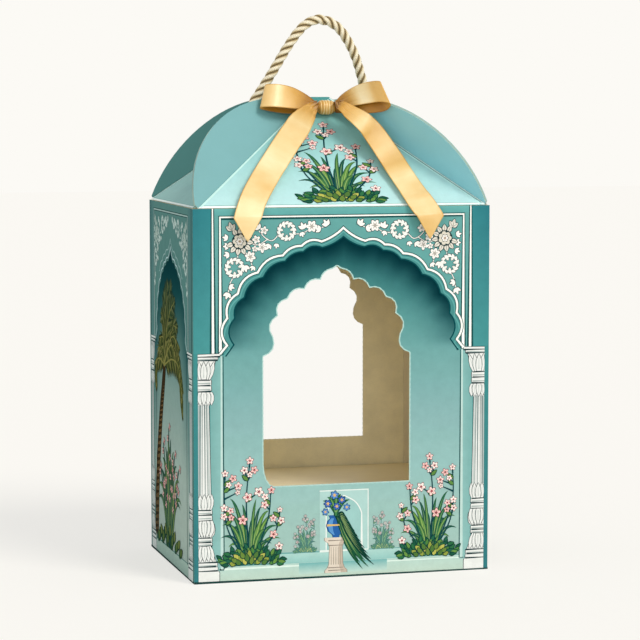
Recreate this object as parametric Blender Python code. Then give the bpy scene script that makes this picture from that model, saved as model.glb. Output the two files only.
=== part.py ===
"""Window hamper box: a tall printed paperboard case with a folded hip roof.

Four walls stand on a lock bottom. The front and back walls have a die-cut window with a
scalloped arch. Inside, a platform insert raises the floor. Above, each wall continues in a roof
flap with two curved wings, and the wings of neighbouring flaps stand back to back along the hips,
all leaning the same way round like a pinwheel. A rope handle is knotted under the two side flaps,
and a ribbon bow sits on the front flap.

Units are metres, +Z is up, and the origin is the centre of the footprint. The front faces -Y.
"""

import itertools
import math

import bmesh
import bpy
from mathutils import Matrix, Vector

for item in list(bpy.data.objects):
    bpy.data.objects.remove(item, do_unlink=True)

# Case
CASE_WIDTH = 0.200
CASE_DEPTH = 0.140
WALL_HEIGHT = 0.243
BOARD = 0.001
CLEARANCE = 0.0003
OVERRUN = 0.005

# Windows: one drawing, placed lower in the front wall than in the back wall
WINDOW_WIDTH = 0.099
WINDOW_ARCH_RISE = 0.058
FRONT_SILL = 0.062
FRONT_SPRINGING = 0.1470
FRONT_WINDOW_SHIFT = -0.0043
BACK_SILL = 0.0725
BACK_SPRINGING = 0.1525
BACK_WINDOW_SHIFT = 0.0043
SOFT_CORNER_WIDTH = 0.007
SOFT_CORNER_HEIGHT = 0.015
# Cusps of half the arch, as shares of half the width and of the rise, with the bulge of the
# arc that leads to the next one as a share of its chord (negative bulges into the window).
ARCH_SHARES = (
    (1.000, 0.000, -0.25),
    (0.864, 0.216, 0.27),
    (0.801, 0.453, 0.27),
    (0.669, 0.640, 0.22),
    (0.442, 0.744, 0.22),
    (0.223, 0.844, 0.17),
    (0.065, 0.965, -0.04),
    (0.000, 1.000, 0.0),
)
ARCH_STEPS = 4

# Lock bottom: three layers of flaps, folded in from the walls
FRONT_BASE_LENGTH = 0.110
BACK_BASE_LENGTH = 0.062
SIDE_BASE_LENGTH = 0.058
BASE_TAPER = 0.012
SEAM_WIDTH = 0.015
SEAM_TAPER = 0.006

# Platform insert
PLATFORM_TOP = 0.052
PLATFORM_PLAY = 0.0005

# Roof
ROOF_RISE = 0.077
ROOF_TOP_SHARE = 0.92
CORNER_RELIEF = 0.003
WING_HEIGHT = 0.0291
WING_SPAN_SHARES = (0.0151, 0.8804)
WING_LEAN = math.radians(31.0)
WING_STEPS = 22

# Rope handle
ROPE_DIAMETER = 0.0066
ROPE_HOLE_PLAY = 0.0006
HANDLE_RISE = 0.0794
HOLE_CLIMB_SHARE = 0.565
ROPE_STEP_SHARE = 1.25
KNOT_DIAMETER = 0.0130
KNOT_HEIGHT_SHARE = 0.85
# The rope's route between its holes, as shares of half their distance and of the handle's rise.
HANDLE_ROUTE_SHARES = (
    (-1.085, 0.060), (-1.092, 0.157), (-1.023, 0.264), (-0.922, 0.353), (-0.729, 0.513),
    (-0.602, 0.625), (-0.444, 0.764), (-0.264, 0.897), (-0.106, 0.972), (0.074, 1.000),
    (0.232, 0.977), (0.395, 0.913), (0.522, 0.815), (0.630, 0.702), (0.701, 0.588),
    (0.745, 0.504), (0.800, 0.400), (0.900, 0.275), (1.025, 0.155), (1.085, 0.060),
)
ROPE_SPLIT_SHARE = 0.495

# Ribbon bow
RIBBON_WIDTH = 0.0175
RIBBON_THICKNESS = 0.0005
BOW_REACH_SHARES = (0.400, 0.5714, 0.5195)
BOW_KNOT_LENGTH = 0.0115
BOW_KNOT_DIAMETER = 0.0096
BOW_KNOT_ACROSS_SHARE = 0.021
BOW_KNOT_CLIMB_SHARE = 0.787
KNOT_TURNS = 4
KNOT_GROOVE = 0.0003
# The bow reaches out over the roof by shares of half the width, of half the depth and of the
# rise. Stations of a loop run from the knot round to the knot: outward, forward and upward as
# shares of that reach, then the width as a share of the ribbon's.
LEFT_LOOP_SHARES = (
    (0.000, 0.019, 0.017, 0.40), (0.228, 0.070, 0.090, 0.74), (0.549, 0.150, 0.160, 0.97),
    (0.904, 0.210, 0.200, 1.00), (1.118, 0.130, 0.190, 1.00), (1.050, 0.060, 0.150, 1.00),
    (0.644, 0.010, 0.080, 0.97), (0.252, -0.020, 0.020, 0.70), (0.000, -0.024, -0.022, 0.40),
)
RIGHT_LOOP_SHARES = (
    (0.000, 0.019, 0.017, 0.40), (0.157, 0.110, 0.110, 0.68), (0.407, 0.320, 0.210, 0.88),
    (0.644, 0.540, 0.260, 0.94), (0.810, 0.660, 0.240, 1.00), (0.751, 0.560, 0.130, 1.00),
    (0.513, 0.385, 0.080, 0.97), (0.217, 0.110, 0.020, 0.70), (0.000, -0.024, -0.022, 0.40),
)
LOOP_STEPS = 3
LOOP_LEAN_SHARES = (0.30, 0.43, 0.85)
# Stations of a tail on the front flap: across as a share of half the width, climb as a share of
# the roof's, lift and width as shares of the ribbon's width.
LEFT_TAIL_SHARES = (
    (-0.103, 0.696, 0.88, 0.50), (-0.141, 0.664, 0.82, 0.72), (-0.191, 0.618, 0.62, 0.95),
    (-0.231, 0.573, 0.43, 1.00), (-0.285, 0.509, 0.31, 1.00), (-0.390, 0.363, 0.26, 1.00),
    (-0.496, 0.210, 0.23, 1.00), (-0.600, 0.040, 0.20, 1.00),
)
RIGHT_TAIL_SHARES = (
    (0.082, 0.707, 0.95, 0.50), (0.134, 0.652, 0.96, 0.72), (0.211, 0.573, 0.95, 0.92),
    (0.279, 0.507, 0.72, 1.00), (0.360, 0.393, 0.40, 1.00), (0.424, 0.250, 0.25, 1.00),
    (0.480, 0.105, 0.21, 1.00), (0.510, 0.030, 0.20, 1.00),
)
LEFT_TAIL_RUN_SHARE = -0.62
RIGHT_TAIL_RUN_SHARE = 0.545
TAIL_LAYER_SHARE = 0.72
TAIL_GATHER_SHARE = 0.30
TAIL_TURN_SHARE = 0.15
TAIL_END_WIDTH_SHARE = 1.06
TAIL_SHOULDER = 0.006
TAIL_DROP = 0.0215
TAIL_END_OFF = 0.005
TIE_WIDTH = 0.0024
TIE_LENGTH = 0.012
TIE_FOOT_SHARE = 0.705

TOUCH = 1e-7
PARALLEL_SHARE = 1e-6

UP = Vector((0, 0, 1))


def material(name, colour, roughness, metallic=0.0):
    made = bpy.data.materials.new(name)
    made.use_nodes = True
    shader = made.node_tree.nodes["Principled BSDF"]
    shader.inputs["Base Color"].default_value = (*colour, 1)
    shader.inputs["Roughness"].default_value = roughness
    shader.inputs["Metallic"].default_value = metallic
    return made


TEAL_BOARD = material("printed_teal_board", (0.10, 0.33, 0.34), 0.42)
AQUA_BOARD = material("printed_aqua_board", (0.45, 0.77, 0.76), 0.42)
SIDE_BOARD = material("printed_side_board", (0.09, 0.27, 0.26), 0.45)
WING_BOARD = material("printed_wing_board", (0.23, 0.49, 0.50), 0.42)
KRAFT_BOARD = material("golden_inside_board", (0.46, 0.37, 0.20), 0.6)
ROPE_CORD = material("twisted_gold_cord", (0.50, 0.36, 0.17), 0.45)
SATIN = material("gold_satin_ribbon", (0.72, 0.47, 0.16), 0.3)
TIE_PAPER = material("pale_tie_paper", (0.62, 0.66, 0.62), 0.5)


def pivot(name, place):
    """An empty on a joint's axis that carries the pieces of one moving body."""
    empty = bpy.data.objects.new(name, None)
    empty.empty_display_size = OVERRUN
    empty.location = place
    bpy.context.collection.objects.link(empty)
    return empty


def piece(name, bm, surface, parent=None, smooth=False):
    """Turn a bmesh in world coordinates into a named object under its body's pivot."""
    bmesh.ops.remove_doubles(bm, verts=bm.verts, dist=TOUCH)
    bmesh.ops.recalc_face_normals(bm, faces=bm.faces)
    origin = parent.location.copy() if parent else Vector((0, 0, 0))
    bmesh.ops.translate(bm, verts=bm.verts, vec=-origin)
    mesh = bpy.data.meshes.new(name)
    bm.to_mesh(mesh)
    bm.free()
    mesh.materials.append(surface)
    if smooth:
        mesh.shade_smooth()
        mesh.set_sharp_from_angle(angle=math.radians(40))
    made = bpy.data.objects.new(name, mesh)
    bpy.context.collection.objects.link(made)
    if parent:
        made.parent = parent
    return made


def board(loops, place, thickness=BOARD):
    """A flat board with the outline loops[0] and holes loops[1:], raised along place(u, v, w)."""
    bm = bmesh.new()
    for loop in loops:
        corners = [bm.verts.new(place(u, v, 0)) for u, v in loop]
        for k, corner in enumerate(corners):
            bm.edges.new((corner, corners[(k + 1) % len(corners)]))
    bmesh.ops.triangle_fill(bm, use_beauty=True, edges=bm.edges)
    raised = bmesh.ops.extrude_face_region(bm, geom=bm.faces[:])
    shift = place(0, 0, thickness) - place(0, 0, 0)
    bmesh.ops.translate(
        bm, verts=[v for v in raised["geom"] if isinstance(v, bmesh.types.BMVert)], vec=shift
    )
    return bm


def solid_from_planes(planes):
    """The closed convex solid inside planes, each a point on it and its outward normal."""
    bm = bmesh.new()
    for (p, a), (q, b), (r, c) in itertools.combinations(planes, 3):
        rows = Matrix((a, b, c))
        if abs(rows.determinant()) < PARALLEL_SHARE:
            continue
        corner = rows.inverted() @ Vector((a.dot(p), b.dot(q), c.dot(r)))
        if all((corner - point).dot(normal) < TOUCH for point, normal in planes):
            bm.verts.new(corner)
    bmesh.ops.remove_doubles(bm, verts=bm.verts, dist=TOUCH * 10)
    bmesh.ops.convex_hull(bm, input=bm.verts)
    bmesh.ops.dissolve_limit(
        bm, angle_limit=math.radians(0.05), verts=bm.verts, edges=bm.edges
    )
    return bm


def rectangle(u0, u1, v0, v1):
    return [(u0, v0), (u1, v0), (u1, v1), (u0, v1)]


def arc(start, end, bulge, steps):
    """Points from start up to end along an arc whose height is bulge times its chord."""
    (x0, z0), (x1, z1) = start, end
    points = []
    for k in range(steps):
        t = k / steps
        rise = 4 * bulge * t * (1 - t)
        points.append((x0 + (x1 - x0) * t + (z1 - z0) * rise, z0 + (z1 - z0) * t - (x1 - x0) * rise))
    return points


def window(shift, sill, springing, soft_left=False):
    """The window's outline, anticlockwise from the lower right corner, seen from the front."""
    half = WINDOW_WIDTH / 2
    cusps = [(x * half, springing + z * WINDOW_ARCH_RISE, b) for x, z, b in ARCH_SHARES]
    right = []
    for (x0, z0, bulge), (x1, z1, _) in zip(cusps, cusps[1:]):
        right += arc((x0, z0), (x1, z1), bulge, ARCH_STEPS)
    left = [(-x, z) for x, z in reversed(right)]
    foot = [(-half, sill)]
    if soft_left:
        foot = []
        for k in range(ARCH_STEPS + 1):
            turn = math.pi / 2 * k / ARCH_STEPS
            foot.append((
                -half + SOFT_CORNER_WIDTH * (1 - math.cos(turn)),
                sill + SOFT_CORNER_HEIGHT * (1 - math.sin(turn)),
            ))
    outline = [(half, sill)] + right + [(0, springing + WINDOW_ARCH_RISE)] + left + foot
    return [(x + shift, z) for x, z in outline]


# Walls. The side walls stand between the front and the back wall.
wall_inner_y = CASE_DEPTH / 2 - BOARD
wall_inner_x = CASE_WIDTH / 2 - BOARD
side_wall_half = wall_inner_y - CLEARANCE

piece(
    "front_wall",
    board(
        [
            rectangle(-CASE_WIDTH / 2, CASE_WIDTH / 2, 0, WALL_HEIGHT),
            window(FRONT_WINDOW_SHIFT, FRONT_SILL, FRONT_SPRINGING, soft_left=True),
        ],
        lambda u, v, w: Vector((u, -CASE_DEPTH / 2 + w, v)),
    ),
    TEAL_BOARD,
)
piece(
    "back_wall",
    board(
        [
            rectangle(-CASE_WIDTH / 2, CASE_WIDTH / 2, 0, WALL_HEIGHT),
            window(BACK_WINDOW_SHIFT, BACK_SILL, BACK_SPRINGING),
        ],
        lambda u, v, w: Vector((u, CASE_DEPTH / 2 - w, v)),
    ),
    TEAL_BOARD,
)
for side, name in ((-1, "left_wall"), (1, "right_wall")):
    piece(
        name,
        board(
            [rectangle(-side_wall_half, side_wall_half, 0, WALL_HEIGHT)],
            lambda u, v, w, side=side: Vector((side * (CASE_WIDTH / 2 - w), u, v)),
        ),
        SIDE_BOARD,
    )

# The glue seam, inside the back wall at its right end, with tapered ends
layer = BOARD + CLEARANCE
seam_bottom = 3 * layer
seam_outer = wall_inner_x - CLEARANCE
seam_inner = seam_outer - SEAM_WIDTH
seam_top = WALL_HEIGHT - CLEARANCE
piece(
    "seam_flap",
    board(
        [[
            (seam_inner, seam_bottom + SEAM_TAPER), (seam_outer, seam_bottom),
            (seam_outer, seam_top), (seam_inner, seam_top - SEAM_TAPER),
        ]],
        lambda u, v, w: Vector((u, wall_inner_y - CLEARANCE - w, v)),
    ),
    KRAFT_BOARD,
)

# The lock bottom: front flap outermost, then the back flap, then the two side flaps
base_half_x = wall_inner_x - CLEARANCE
base_half_y = wall_inner_y - CLEARANCE


def base_flap(name, length, level, place, half):
    outline = [(-half, 0), (half, 0), (half - BASE_TAPER, length), (-half + BASE_TAPER, length)]
    piece(name, board([outline], lambda u, v, w: place(u, v) + UP * (level * layer + w)), KRAFT_BOARD)


base_flap(
    "base_front_flap", FRONT_BASE_LENGTH, 0,
    lambda u, v: Vector((u, -base_half_y + v, 0)), base_half_x,
)
base_flap(
    "base_back_flap", BACK_BASE_LENGTH, 1,
    lambda u, v: Vector((u, base_half_y - v, 0)), base_half_x,
)
base_flap(
    "base_left_flap", SIDE_BASE_LENGTH, 2,
    lambda u, v: Vector((-base_half_x + v, u, 0)), base_half_y,
)
base_flap(
    "base_right_flap", SIDE_BASE_LENGTH, 2,
    lambda u, v: Vector((base_half_x - v, u, 0)), base_half_y,
)

# Platform insert: a deck on four skirts that stand on the side flaps of the lock bottom
platform = pivot("platform_pivot", Vector((0, 0, PLATFORM_TOP)))
deck_half_x = wall_inner_x - PLATFORM_PLAY
deck_half_y = wall_inner_y - BOARD - 2 * CLEARANCE - PLATFORM_PLAY
skirt_foot = 3 * layer
skirt_top = PLATFORM_TOP - BOARD - CLEARANCE
piece(
    "platform_deck",
    board(
        [rectangle(-deck_half_x, deck_half_x, -deck_half_y, deck_half_y)],
        lambda u, v, w: Vector((u, v, PLATFORM_TOP - w)),
    ),
    KRAFT_BOARD,
    platform,
)
for side, name in ((-1, "platform_front_skirt"), (1, "platform_back_skirt")):
    piece(
        name,
        board(
            [rectangle(-deck_half_x, deck_half_x, skirt_foot, skirt_top)],
            lambda u, v, w, side=side: Vector((u, side * (deck_half_y - w), v)),
        ),
        KRAFT_BOARD,
        platform,
    )
skirt_half = deck_half_y - BOARD - CLEARANCE
for side, name in ((-1, "platform_left_skirt"), (1, "platform_right_skirt")):
    piece(
        name,
        board(
            [rectangle(-skirt_half, skirt_half, skirt_foot, skirt_top)],
            lambda u, v, w, side=side: Vector((side * (deck_half_x - w), u, v)),
        ),
        KRAFT_BOARD,
        platform,
    )

# Roof. Each side has its outward direction, its right-hand direction seen from outside, half its
# length and its distance from the centre.
SIDES = {
    "front": (Vector((0, -1, 0)), Vector((1, 0, 0)), CASE_WIDTH / 2, CASE_DEPTH / 2),
    "right": (Vector((1, 0, 0)), Vector((0, 1, 0)), CASE_DEPTH / 2, CASE_WIDTH / 2),
    "back": (Vector((0, 1, 0)), Vector((-1, 0, 0)), CASE_WIDTH / 2, CASE_DEPTH / 2),
    "left": (Vector((-1, 0, 0)), Vector((0, -1, 0)), CASE_DEPTH / 2, CASE_WIDTH / 2),
}
APEX = Vector((0, 0, WALL_HEIGHT + ROOF_RISE))


def hip(side, end):
    """A hip seen from one flap: its corner, its unit vector, and the plane of its wing pair.

    Returns the corner, the unit vector up the hip, the unit vector inwards in plan, the unit
    vector up the wing and the unit vector square to the wing, towards this flap.
    """
    outward, along, half, out = SIDES[side]
    corner = outward * out + along * (half * end) + UP * WALL_HEIGHT
    rise = (APEX - corner).normalized()
    inward = Vector((rise.x, rise.y, 0)).normalized()
    square = Vector((inward.y, -inward.x, 0))
    if square.dot(outward) < 0:
        square = -square
    upright = (UP - rise * UP.dot(rise)).normalized()
    lean = -end * WING_LEAN
    wing_up = upright * math.cos(lean) - square * math.sin(lean)
    wing_square = square * math.cos(lean) + upright * math.sin(lean)
    return corner, rise, inward, wing_up, wing_square


def roof_normal(side):
    outward, _, _, out = SIDES[side]
    return (outward * ROOF_RISE + UP * out).normalized()


def roof_panel(side):
    outward, _, _, out = SIDES[side]
    eave = outward * out + UP * WALL_HEIGHT
    normal = roof_normal(side)
    planes = [
        (eave, normal),
        (eave - normal * BOARD, -normal),
        (eave + UP * CLEARANCE, -UP),
        (UP * (WALL_HEIGHT + ROOF_RISE * ROOF_TOP_SHARE), UP),
    ]
    for end in (-1, 1):
        corner, _, inward, _, wing_square = hip(side, end)
        planes.append((corner + wing_square * (CLEARANCE / 2), -wing_square))
        planes.append((corner + inward * CORNER_RELIEF, -inward))
    return solid_from_planes(planes)


def wing(side, end):
    """A curved wing: an arc over its hip, cut along the roof panel that carries it."""
    corner, rise, _, wing_up, wing_square = hip(side, end)
    normal = roof_normal(side)
    start, finish = ((APEX - corner).length * share for share in WING_SPAN_SHARES)
    centre_along = (start + finish) / 2
    radius = ((finish - start) ** 2 / 4 + WING_HEIGHT**2) / (2 * WING_HEIGHT)
    centre_down = radius - WING_HEIGHT
    bm = bmesh.new()
    faces = []
    for level in (CLEARANCE / 2, CLEARANCE / 2 + BOARD):
        foot = (CLEARANCE - level * wing_square.dot(normal)) / wing_up.dot(normal)
        first = math.acos((CORNER_RELIEF - centre_along) / radius)
        last = math.asin((foot + centre_down) / radius)
        outline = [(CORNER_RELIEF, foot)]
        for k in range(WING_STEPS + 1):
            turn = first + (last - first) * k / WING_STEPS
            outline.append((
                centre_along + radius * math.cos(turn),
                radius * math.sin(turn) - centre_down,
            ))
        faces.append([
            bm.verts.new(corner + rise * a + wing_up * b + wing_square * level)
            for a, b in outline
        ])
    near, far = faces
    bm.faces.new(near)
    bm.faces.new(far[::-1])
    for k in range(len(near)):
        n = (k + 1) % len(near)
        bm.faces.new((near[k], far[k], far[n], near[n]))
    return bm


flap_pivots = {}
for side, (outward, along, half, out) in SIDES.items():
    flap_pivots[side] = pivot(side + "_flap_hinge", outward * out + UP * WALL_HEIGHT)

panels = {}
for side in SIDES:
    surface = AQUA_BOARD if side in ("front", "back") else SIDE_BOARD
    panels[side] = piece(side + "_roof_panel", roof_panel(side), surface, flap_pivots[side])
    for end, label in ((-1, "left"), (1, "right")):
        piece(side + "_" + label + "_wing", wing(side, end), WING_BOARD, flap_pivots[side])

# Rope handle. Its ends go square through the side flaps, into knots underneath.
hole_x = CASE_WIDTH / 2 * (1 - HOLE_CLIMB_SHARE)
hole_z = WALL_HEIGHT + ROOF_RISE * HOLE_CLIMB_SHARE


def smooth_line(points, step):
    """Points about step apart along a smooth curve through points."""
    padded = [points[0] * 2 - points[1]] + points + [points[-1] * 2 - points[-2]]
    fine = []
    for p0, p1, p2, p3 in zip(padded, padded[1:], padded[2:], padded[3:]):
        for k in range(12):
            t = k / 12
            fine.append(
                (p1 * 2 + (p2 - p0) * t + (p0 * 2 - p1 * 5 + p2 * 4 - p3) * t**2
                 + (p1 * 3 - p0 - p2 * 3 + p3) * t**3) / 2
            )
    fine.append(points[-1])
    lengths = [0]
    for a, b in zip(fine, fine[1:]):
        lengths.append(lengths[-1] + (b - a).length)
    count = max(2, round(lengths[-1] / step))
    spaced = []
    k = 0
    for n in range(count + 1):
        want = lengths[-1] * n / count
        while k < len(fine) - 2 and lengths[k + 1] < want:
            k += 1
        share = (want - lengths[k]) / (lengths[k + 1] - lengths[k])
        spaced.append(fine[k].lerp(fine[k + 1], share))
    return spaced


rope_ends = {}
for side, name in ((-1, "left"), (1, "right")):
    normal = roof_normal(name)
    hole = Vector((side * hole_x, 0, hole_z))
    rope_ends[side] = hole - normal * (BOARD + CLEARANCE)
    cutter_bm = bmesh.new()
    bmesh.ops.create_cone(
        cutter_bm, cap_ends=True, segments=20, depth=OVERRUN,
        radius1=ROPE_DIAMETER / 2 + ROPE_HOLE_PLAY, radius2=ROPE_DIAMETER / 2 + ROPE_HOLE_PLAY,
        matrix=Matrix.Translation(hole) @ normal.to_track_quat("Z", "Y").to_matrix().to_4x4(),
    )
    cutter = piece(name + "_rope_hole_cutter", cutter_bm, ROPE_CORD, flap_pivots[name])
    cutter.display_type = "WIRE"
    cutter.hide_render = True
    cut = panels[name].modifiers.new("rope hole", "BOOLEAN")
    cut.operation = "DIFFERENCE"
    cut.object = cutter
    knot_bm = bmesh.new()
    bmesh.ops.create_uvsphere(knot_bm, u_segments=14, v_segments=8, radius=KNOT_DIAMETER / 2)
    bmesh.ops.scale(knot_bm, verts=knot_bm.verts, vec=(1, 1, KNOT_HEIGHT_SHARE))
    drop = BOARD + 2 * CLEARANCE + KNOT_DIAMETER / 2 * KNOT_HEIGHT_SHARE
    turn = normal.to_track_quat("Z", "Y").to_matrix().to_4x4()
    bmesh.ops.transform(
        knot_bm, verts=knot_bm.verts, matrix=Matrix.Translation(hole - normal * drop) @ turn
    )
    piece("handle_knot_" + name, knot_bm, ROPE_CORD, flap_pivots[name], smooth=True)

route = [rope_ends[-1]]
for across, height in HANDLE_ROUTE_SHARES:
    route.append(Vector((across * hole_x, 0, hole_z + height * HANDLE_RISE)))
route.append(rope_ends[1])
rope_line = smooth_line(route, ROPE_DIAMETER * ROPE_STEP_SHARE)
split = round(len(rope_line) * ROPE_SPLIT_SHARE)
middle = (rope_line[split] + rope_line[split + 1]) / 2
half_gap = (rope_line[split + 1] - rope_line[split]).normalized() * (CLEARANCE / 2)
rope_left = rope_line[: split + 1] + [middle - half_gap]
rope_right = [middle + half_gap] + rope_line[split + 1 :]
for name, line in (("handle_rope_left", rope_left), ("handle_rope_right", rope_right)):
    curve = bpy.data.curves.new(name, "CURVE")
    curve.dimensions = "3D"
    curve.bevel_depth = ROPE_DIAMETER / 2
    curve.bevel_resolution = 3
    curve.use_fill_caps = True
    spline = curve.splines.new("POLY")
    spline.points.add(len(line) - 1)
    for point, place in zip(spline.points, line):
        point.co = (*place, 1)
    curve.materials.append(ROPE_CORD)
    bpy.context.collection.objects.link(bpy.data.objects.new(name, curve))

# Ribbon bow on the front flap
front_normal = roof_normal("front")
knot_radius = BOW_KNOT_DIAMETER / 2


def on_front(across, climb, lift):
    """A place over the front roof panel, lift above its printed face."""
    foot = Vector((
        across * CASE_WIDTH / 2,
        -CASE_DEPTH / 2 * (1 - climb),
        WALL_HEIGHT + ROOF_RISE * climb,
    ))
    return foot + front_normal * lift


bow_centre = on_front(BOW_KNOT_ACROSS_SHARE, BOW_KNOT_CLIMB_SHARE, knot_radius + CLEARANCE)

# The knot: turns of folded ribbon round the gathered middle, as a grooved barrel along X
profile = [(0, -BOW_KNOT_LENGTH / 2)]
for k in range(KNOT_TURNS):
    left = -BOW_KNOT_LENGTH / 2 + BOW_KNOT_LENGTH * k / KNOT_TURNS
    width = BOW_KNOT_LENGTH / KNOT_TURNS
    profile.append((knot_radius - 2 * KNOT_GROOVE, left + (KNOT_GROOVE if k == 0 else 0)))
    profile.append((knot_radius, left + width / 2))
profile.append((knot_radius - 2 * KNOT_GROOVE, BOW_KNOT_LENGTH / 2 - KNOT_GROOVE))
profile.append((0, BOW_KNOT_LENGTH / 2))
profile.insert(1, (knot_radius - 3 * KNOT_GROOVE, -BOW_KNOT_LENGTH / 2))
profile.insert(-1, (knot_radius - 3 * KNOT_GROOVE, BOW_KNOT_LENGTH / 2))
knot_bm = bmesh.new()
ring = [knot_bm.verts.new((bow_centre.x + x, bow_centre.y, bow_centre.z + r)) for r, x in profile]
for a, b in zip(ring, ring[1:]):
    knot_bm.edges.new((a, b))
bmesh.ops.spin(
    knot_bm, geom=knot_bm.verts[:] + knot_bm.edges[:], cent=bow_centre, axis=(1, 0, 0),
    angle=2 * math.pi, steps=20, use_merge=True,
)
piece("bow_knot", knot_bm, SATIN, flap_pivots["front"])


def ribbon(name, stations, tip=None):
    """A band of ribbon: stations are (centre, half width vector), with an optional pointed end."""
    bm = bmesh.new()
    rows = []
    count = len(stations)
    for k, (centre, reach) in enumerate(stations):
        before = stations[max(0, k - 1)][0]
        after = stations[min(count - 1, k + 1)][0]
        face = (after - before).cross(reach).normalized() * (RIBBON_THICKNESS / 2)
        rows.append([
            bm.verts.new(centre - reach - face), bm.verts.new(centre + reach - face),
            bm.verts.new(centre + reach + face), bm.verts.new(centre - reach + face),
        ])
    for near, far in zip(rows, rows[1:]):
        for k in range(4):
            n = (k + 1) % 4
            bm.faces.new((near[k], near[n], far[n], far[k]))
    bm.faces.new(rows[0][::-1])
    if tip is None:
        bm.faces.new(rows[-1])
    else:
        last = rows[-1]
        centre, reach = stations[-1]
        face = (last[3].co - last[0].co) / 2
        low = bm.verts.new(tip - face)
        high = bm.verts.new(tip + face)
        bm.faces.new((last[0], last[1], low))
        bm.faces.new((last[2], last[3], high))
        bm.faces.new((last[1], last[2], high, low))
        bm.faces.new((last[3], last[0], low, high))
    return piece(name, bm, SATIN, flap_pivots["front"])


def spread(values, steps):
    """Values between the stations of a table, on the smooth curve through them."""
    padded = [values[0] * 2 - values[1]] + values + [values[-1] * 2 - values[-2]]
    smooth = []
    for p0, p1, p2, p3 in zip(padded, padded[1:], padded[2:], padded[3:]):
        for k in range(steps):
            t = k / steps
            smooth.append(
                (p1 * 2 + (p2 - p0) * t + (p0 * 2 - p1 * 5 + p2 * 4 - p3) * t**2
                 + (p1 * 3 - p0 - p2 * 3 + p3) * t**3) / 2
            )
    smooth.append(values[-1])
    return smooth


knot_end = BOW_KNOT_LENGTH / 2 + CLEARANCE + RIBBON_THICKNESS / 2
panel_up = Vector((0, CASE_DEPTH / 2, ROOF_RISE)).normalized()


def bow_loop(name, hand, shares):
    """One loop: out in front of the knot, round its far end and back behind."""
    centres = []
    widths = []
    leans = []
    roof_sizes = (CASE_WIDTH / 2, CASE_DEPTH / 2, ROOF_RISE)
    reach = Vector([size * share for size, share in zip(roof_sizes, BOW_REACH_SHARES)])
    back, lean_back, lean_up = LOOP_LEAN_SHARES
    far_lean = Vector((-hand * back, lean_back, lean_up)).normalized()
    for out, forward, up, width in shares:
        centres.append(bow_centre + Vector((
            hand * (knot_end + out * (reach.x - knot_end)),
            -forward * reach.y,
            up * reach.z,
        )))
        widths.append(Vector((width, 0, 0)))
        leans.append(panel_up.lerp(far_lean, min(1, out)))
    rows = zip(spread(centres, LOOP_STEPS), spread(widths, LOOP_STEPS), spread(leans, LOOP_STEPS))
    stations = [(c, lean.normalized() * (w.x * RIBBON_WIDTH / 2)) for c, w, lean in rows]
    ribbon(name, stations)


bow_loop("bow_left_loop", -1, LEFT_LOOP_SHARES)
bow_loop("bow_right_loop", 1, RIGHT_LOOP_SHARES)


def bow_tail(name, hand, shares, run_share):
    """One tail: out of the knot, down the front roof panel and over the eave, cut to a point."""
    start = bow_centre + Vector((hand * knot_end, 0, 0))
    centres = [start + front_normal * (knot_radius * TAIL_LAYER_SHARE)]
    widths = [Vector((TAIL_GATHER_SHARE, 0, 0))]
    for across, climb, lift, width in shares:
        centres.append(on_front(across, climb, lift * RIBBON_WIDTH))
        widths.append(Vector((width, 0, 0)))
    shoulder = Vector((
        run_share * CASE_WIDTH / 2 + hand * TAIL_SHOULDER / 2,
        -CASE_DEPTH / 2 - TAIL_END_OFF,
        WALL_HEIGHT - TAIL_SHOULDER,
    ))
    centres.append(shoulder)
    widths.append(Vector((TAIL_END_WIDTH_SHARE, 0, 0)))
    centres = spread(centres, LOOP_STEPS)
    widths = spread(widths, LOOP_STEPS)
    stations = []
    last = len(centres) - 1
    for k, centre in enumerate(centres):
        run = centres[min(k + 1, last)] - centres[max(k - 1, 0)]
        turned = max(0, 1 - TAIL_TURN_SHARE * (last - k))
        across = run.cross(front_normal.lerp(Vector((0, -1, 0)), turned)).normalized()
        gathered = panel_up if across.dot(panel_up) > 0 else -panel_up
        across = gathered.lerp(across, min(1, k / (2 * LOOP_STEPS))).normalized()
        level = Vector((math.copysign(1, across.x), 0, 0))
        across = across.lerp(level, turned * turned).normalized()
        stations.append((centre, across * (widths[k].x * RIBBON_WIDTH / 2)))
    ribbon(name, stations, tip=centres[-1] - UP * (TAIL_DROP - TAIL_SHOULDER))


bow_tail("bow_left_tail", -1, LEFT_TAIL_SHARES, LEFT_TAIL_RUN_SHARE)
bow_tail("bow_right_tail", 1, RIGHT_TAIL_SHARES, RIGHT_TAIL_RUN_SHARE)

# A thin paper tie holds the bow to the panel: it shows beside the left hip, below the left loop
tie_bm = bmesh.new()
corner, rise, _, _, wing_square = hip("front", -1)
tie_foot = corner.lerp(APEX, TIE_FOOT_SHARE)
side_step = front_normal.cross(rise).normalized()
if side_step.x < 0:
    side_step = -side_step
low = CLEARANCE
high = CLEARANCE + RIBBON_THICKNESS
tilt = front_normal.dot(wing_square)
past_wing = (BOARD + 2 * CLEARANCE - min(low * tilt, high * tilt)) / side_step.dot(wing_square)
for level in (low, high):
    for along in (0, TIE_LENGTH):
        for across in (past_wing, past_wing + TIE_WIDTH):
            tie_bm.verts.new(
                tie_foot + front_normal * level + rise * along + side_step * across
            )
bmesh.ops.convex_hull(tie_bm, input=tie_bm.verts)
piece("bow_tie_strip", tie_bm, TIE_PAPER, flap_pivots["front"])
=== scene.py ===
import math

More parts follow.
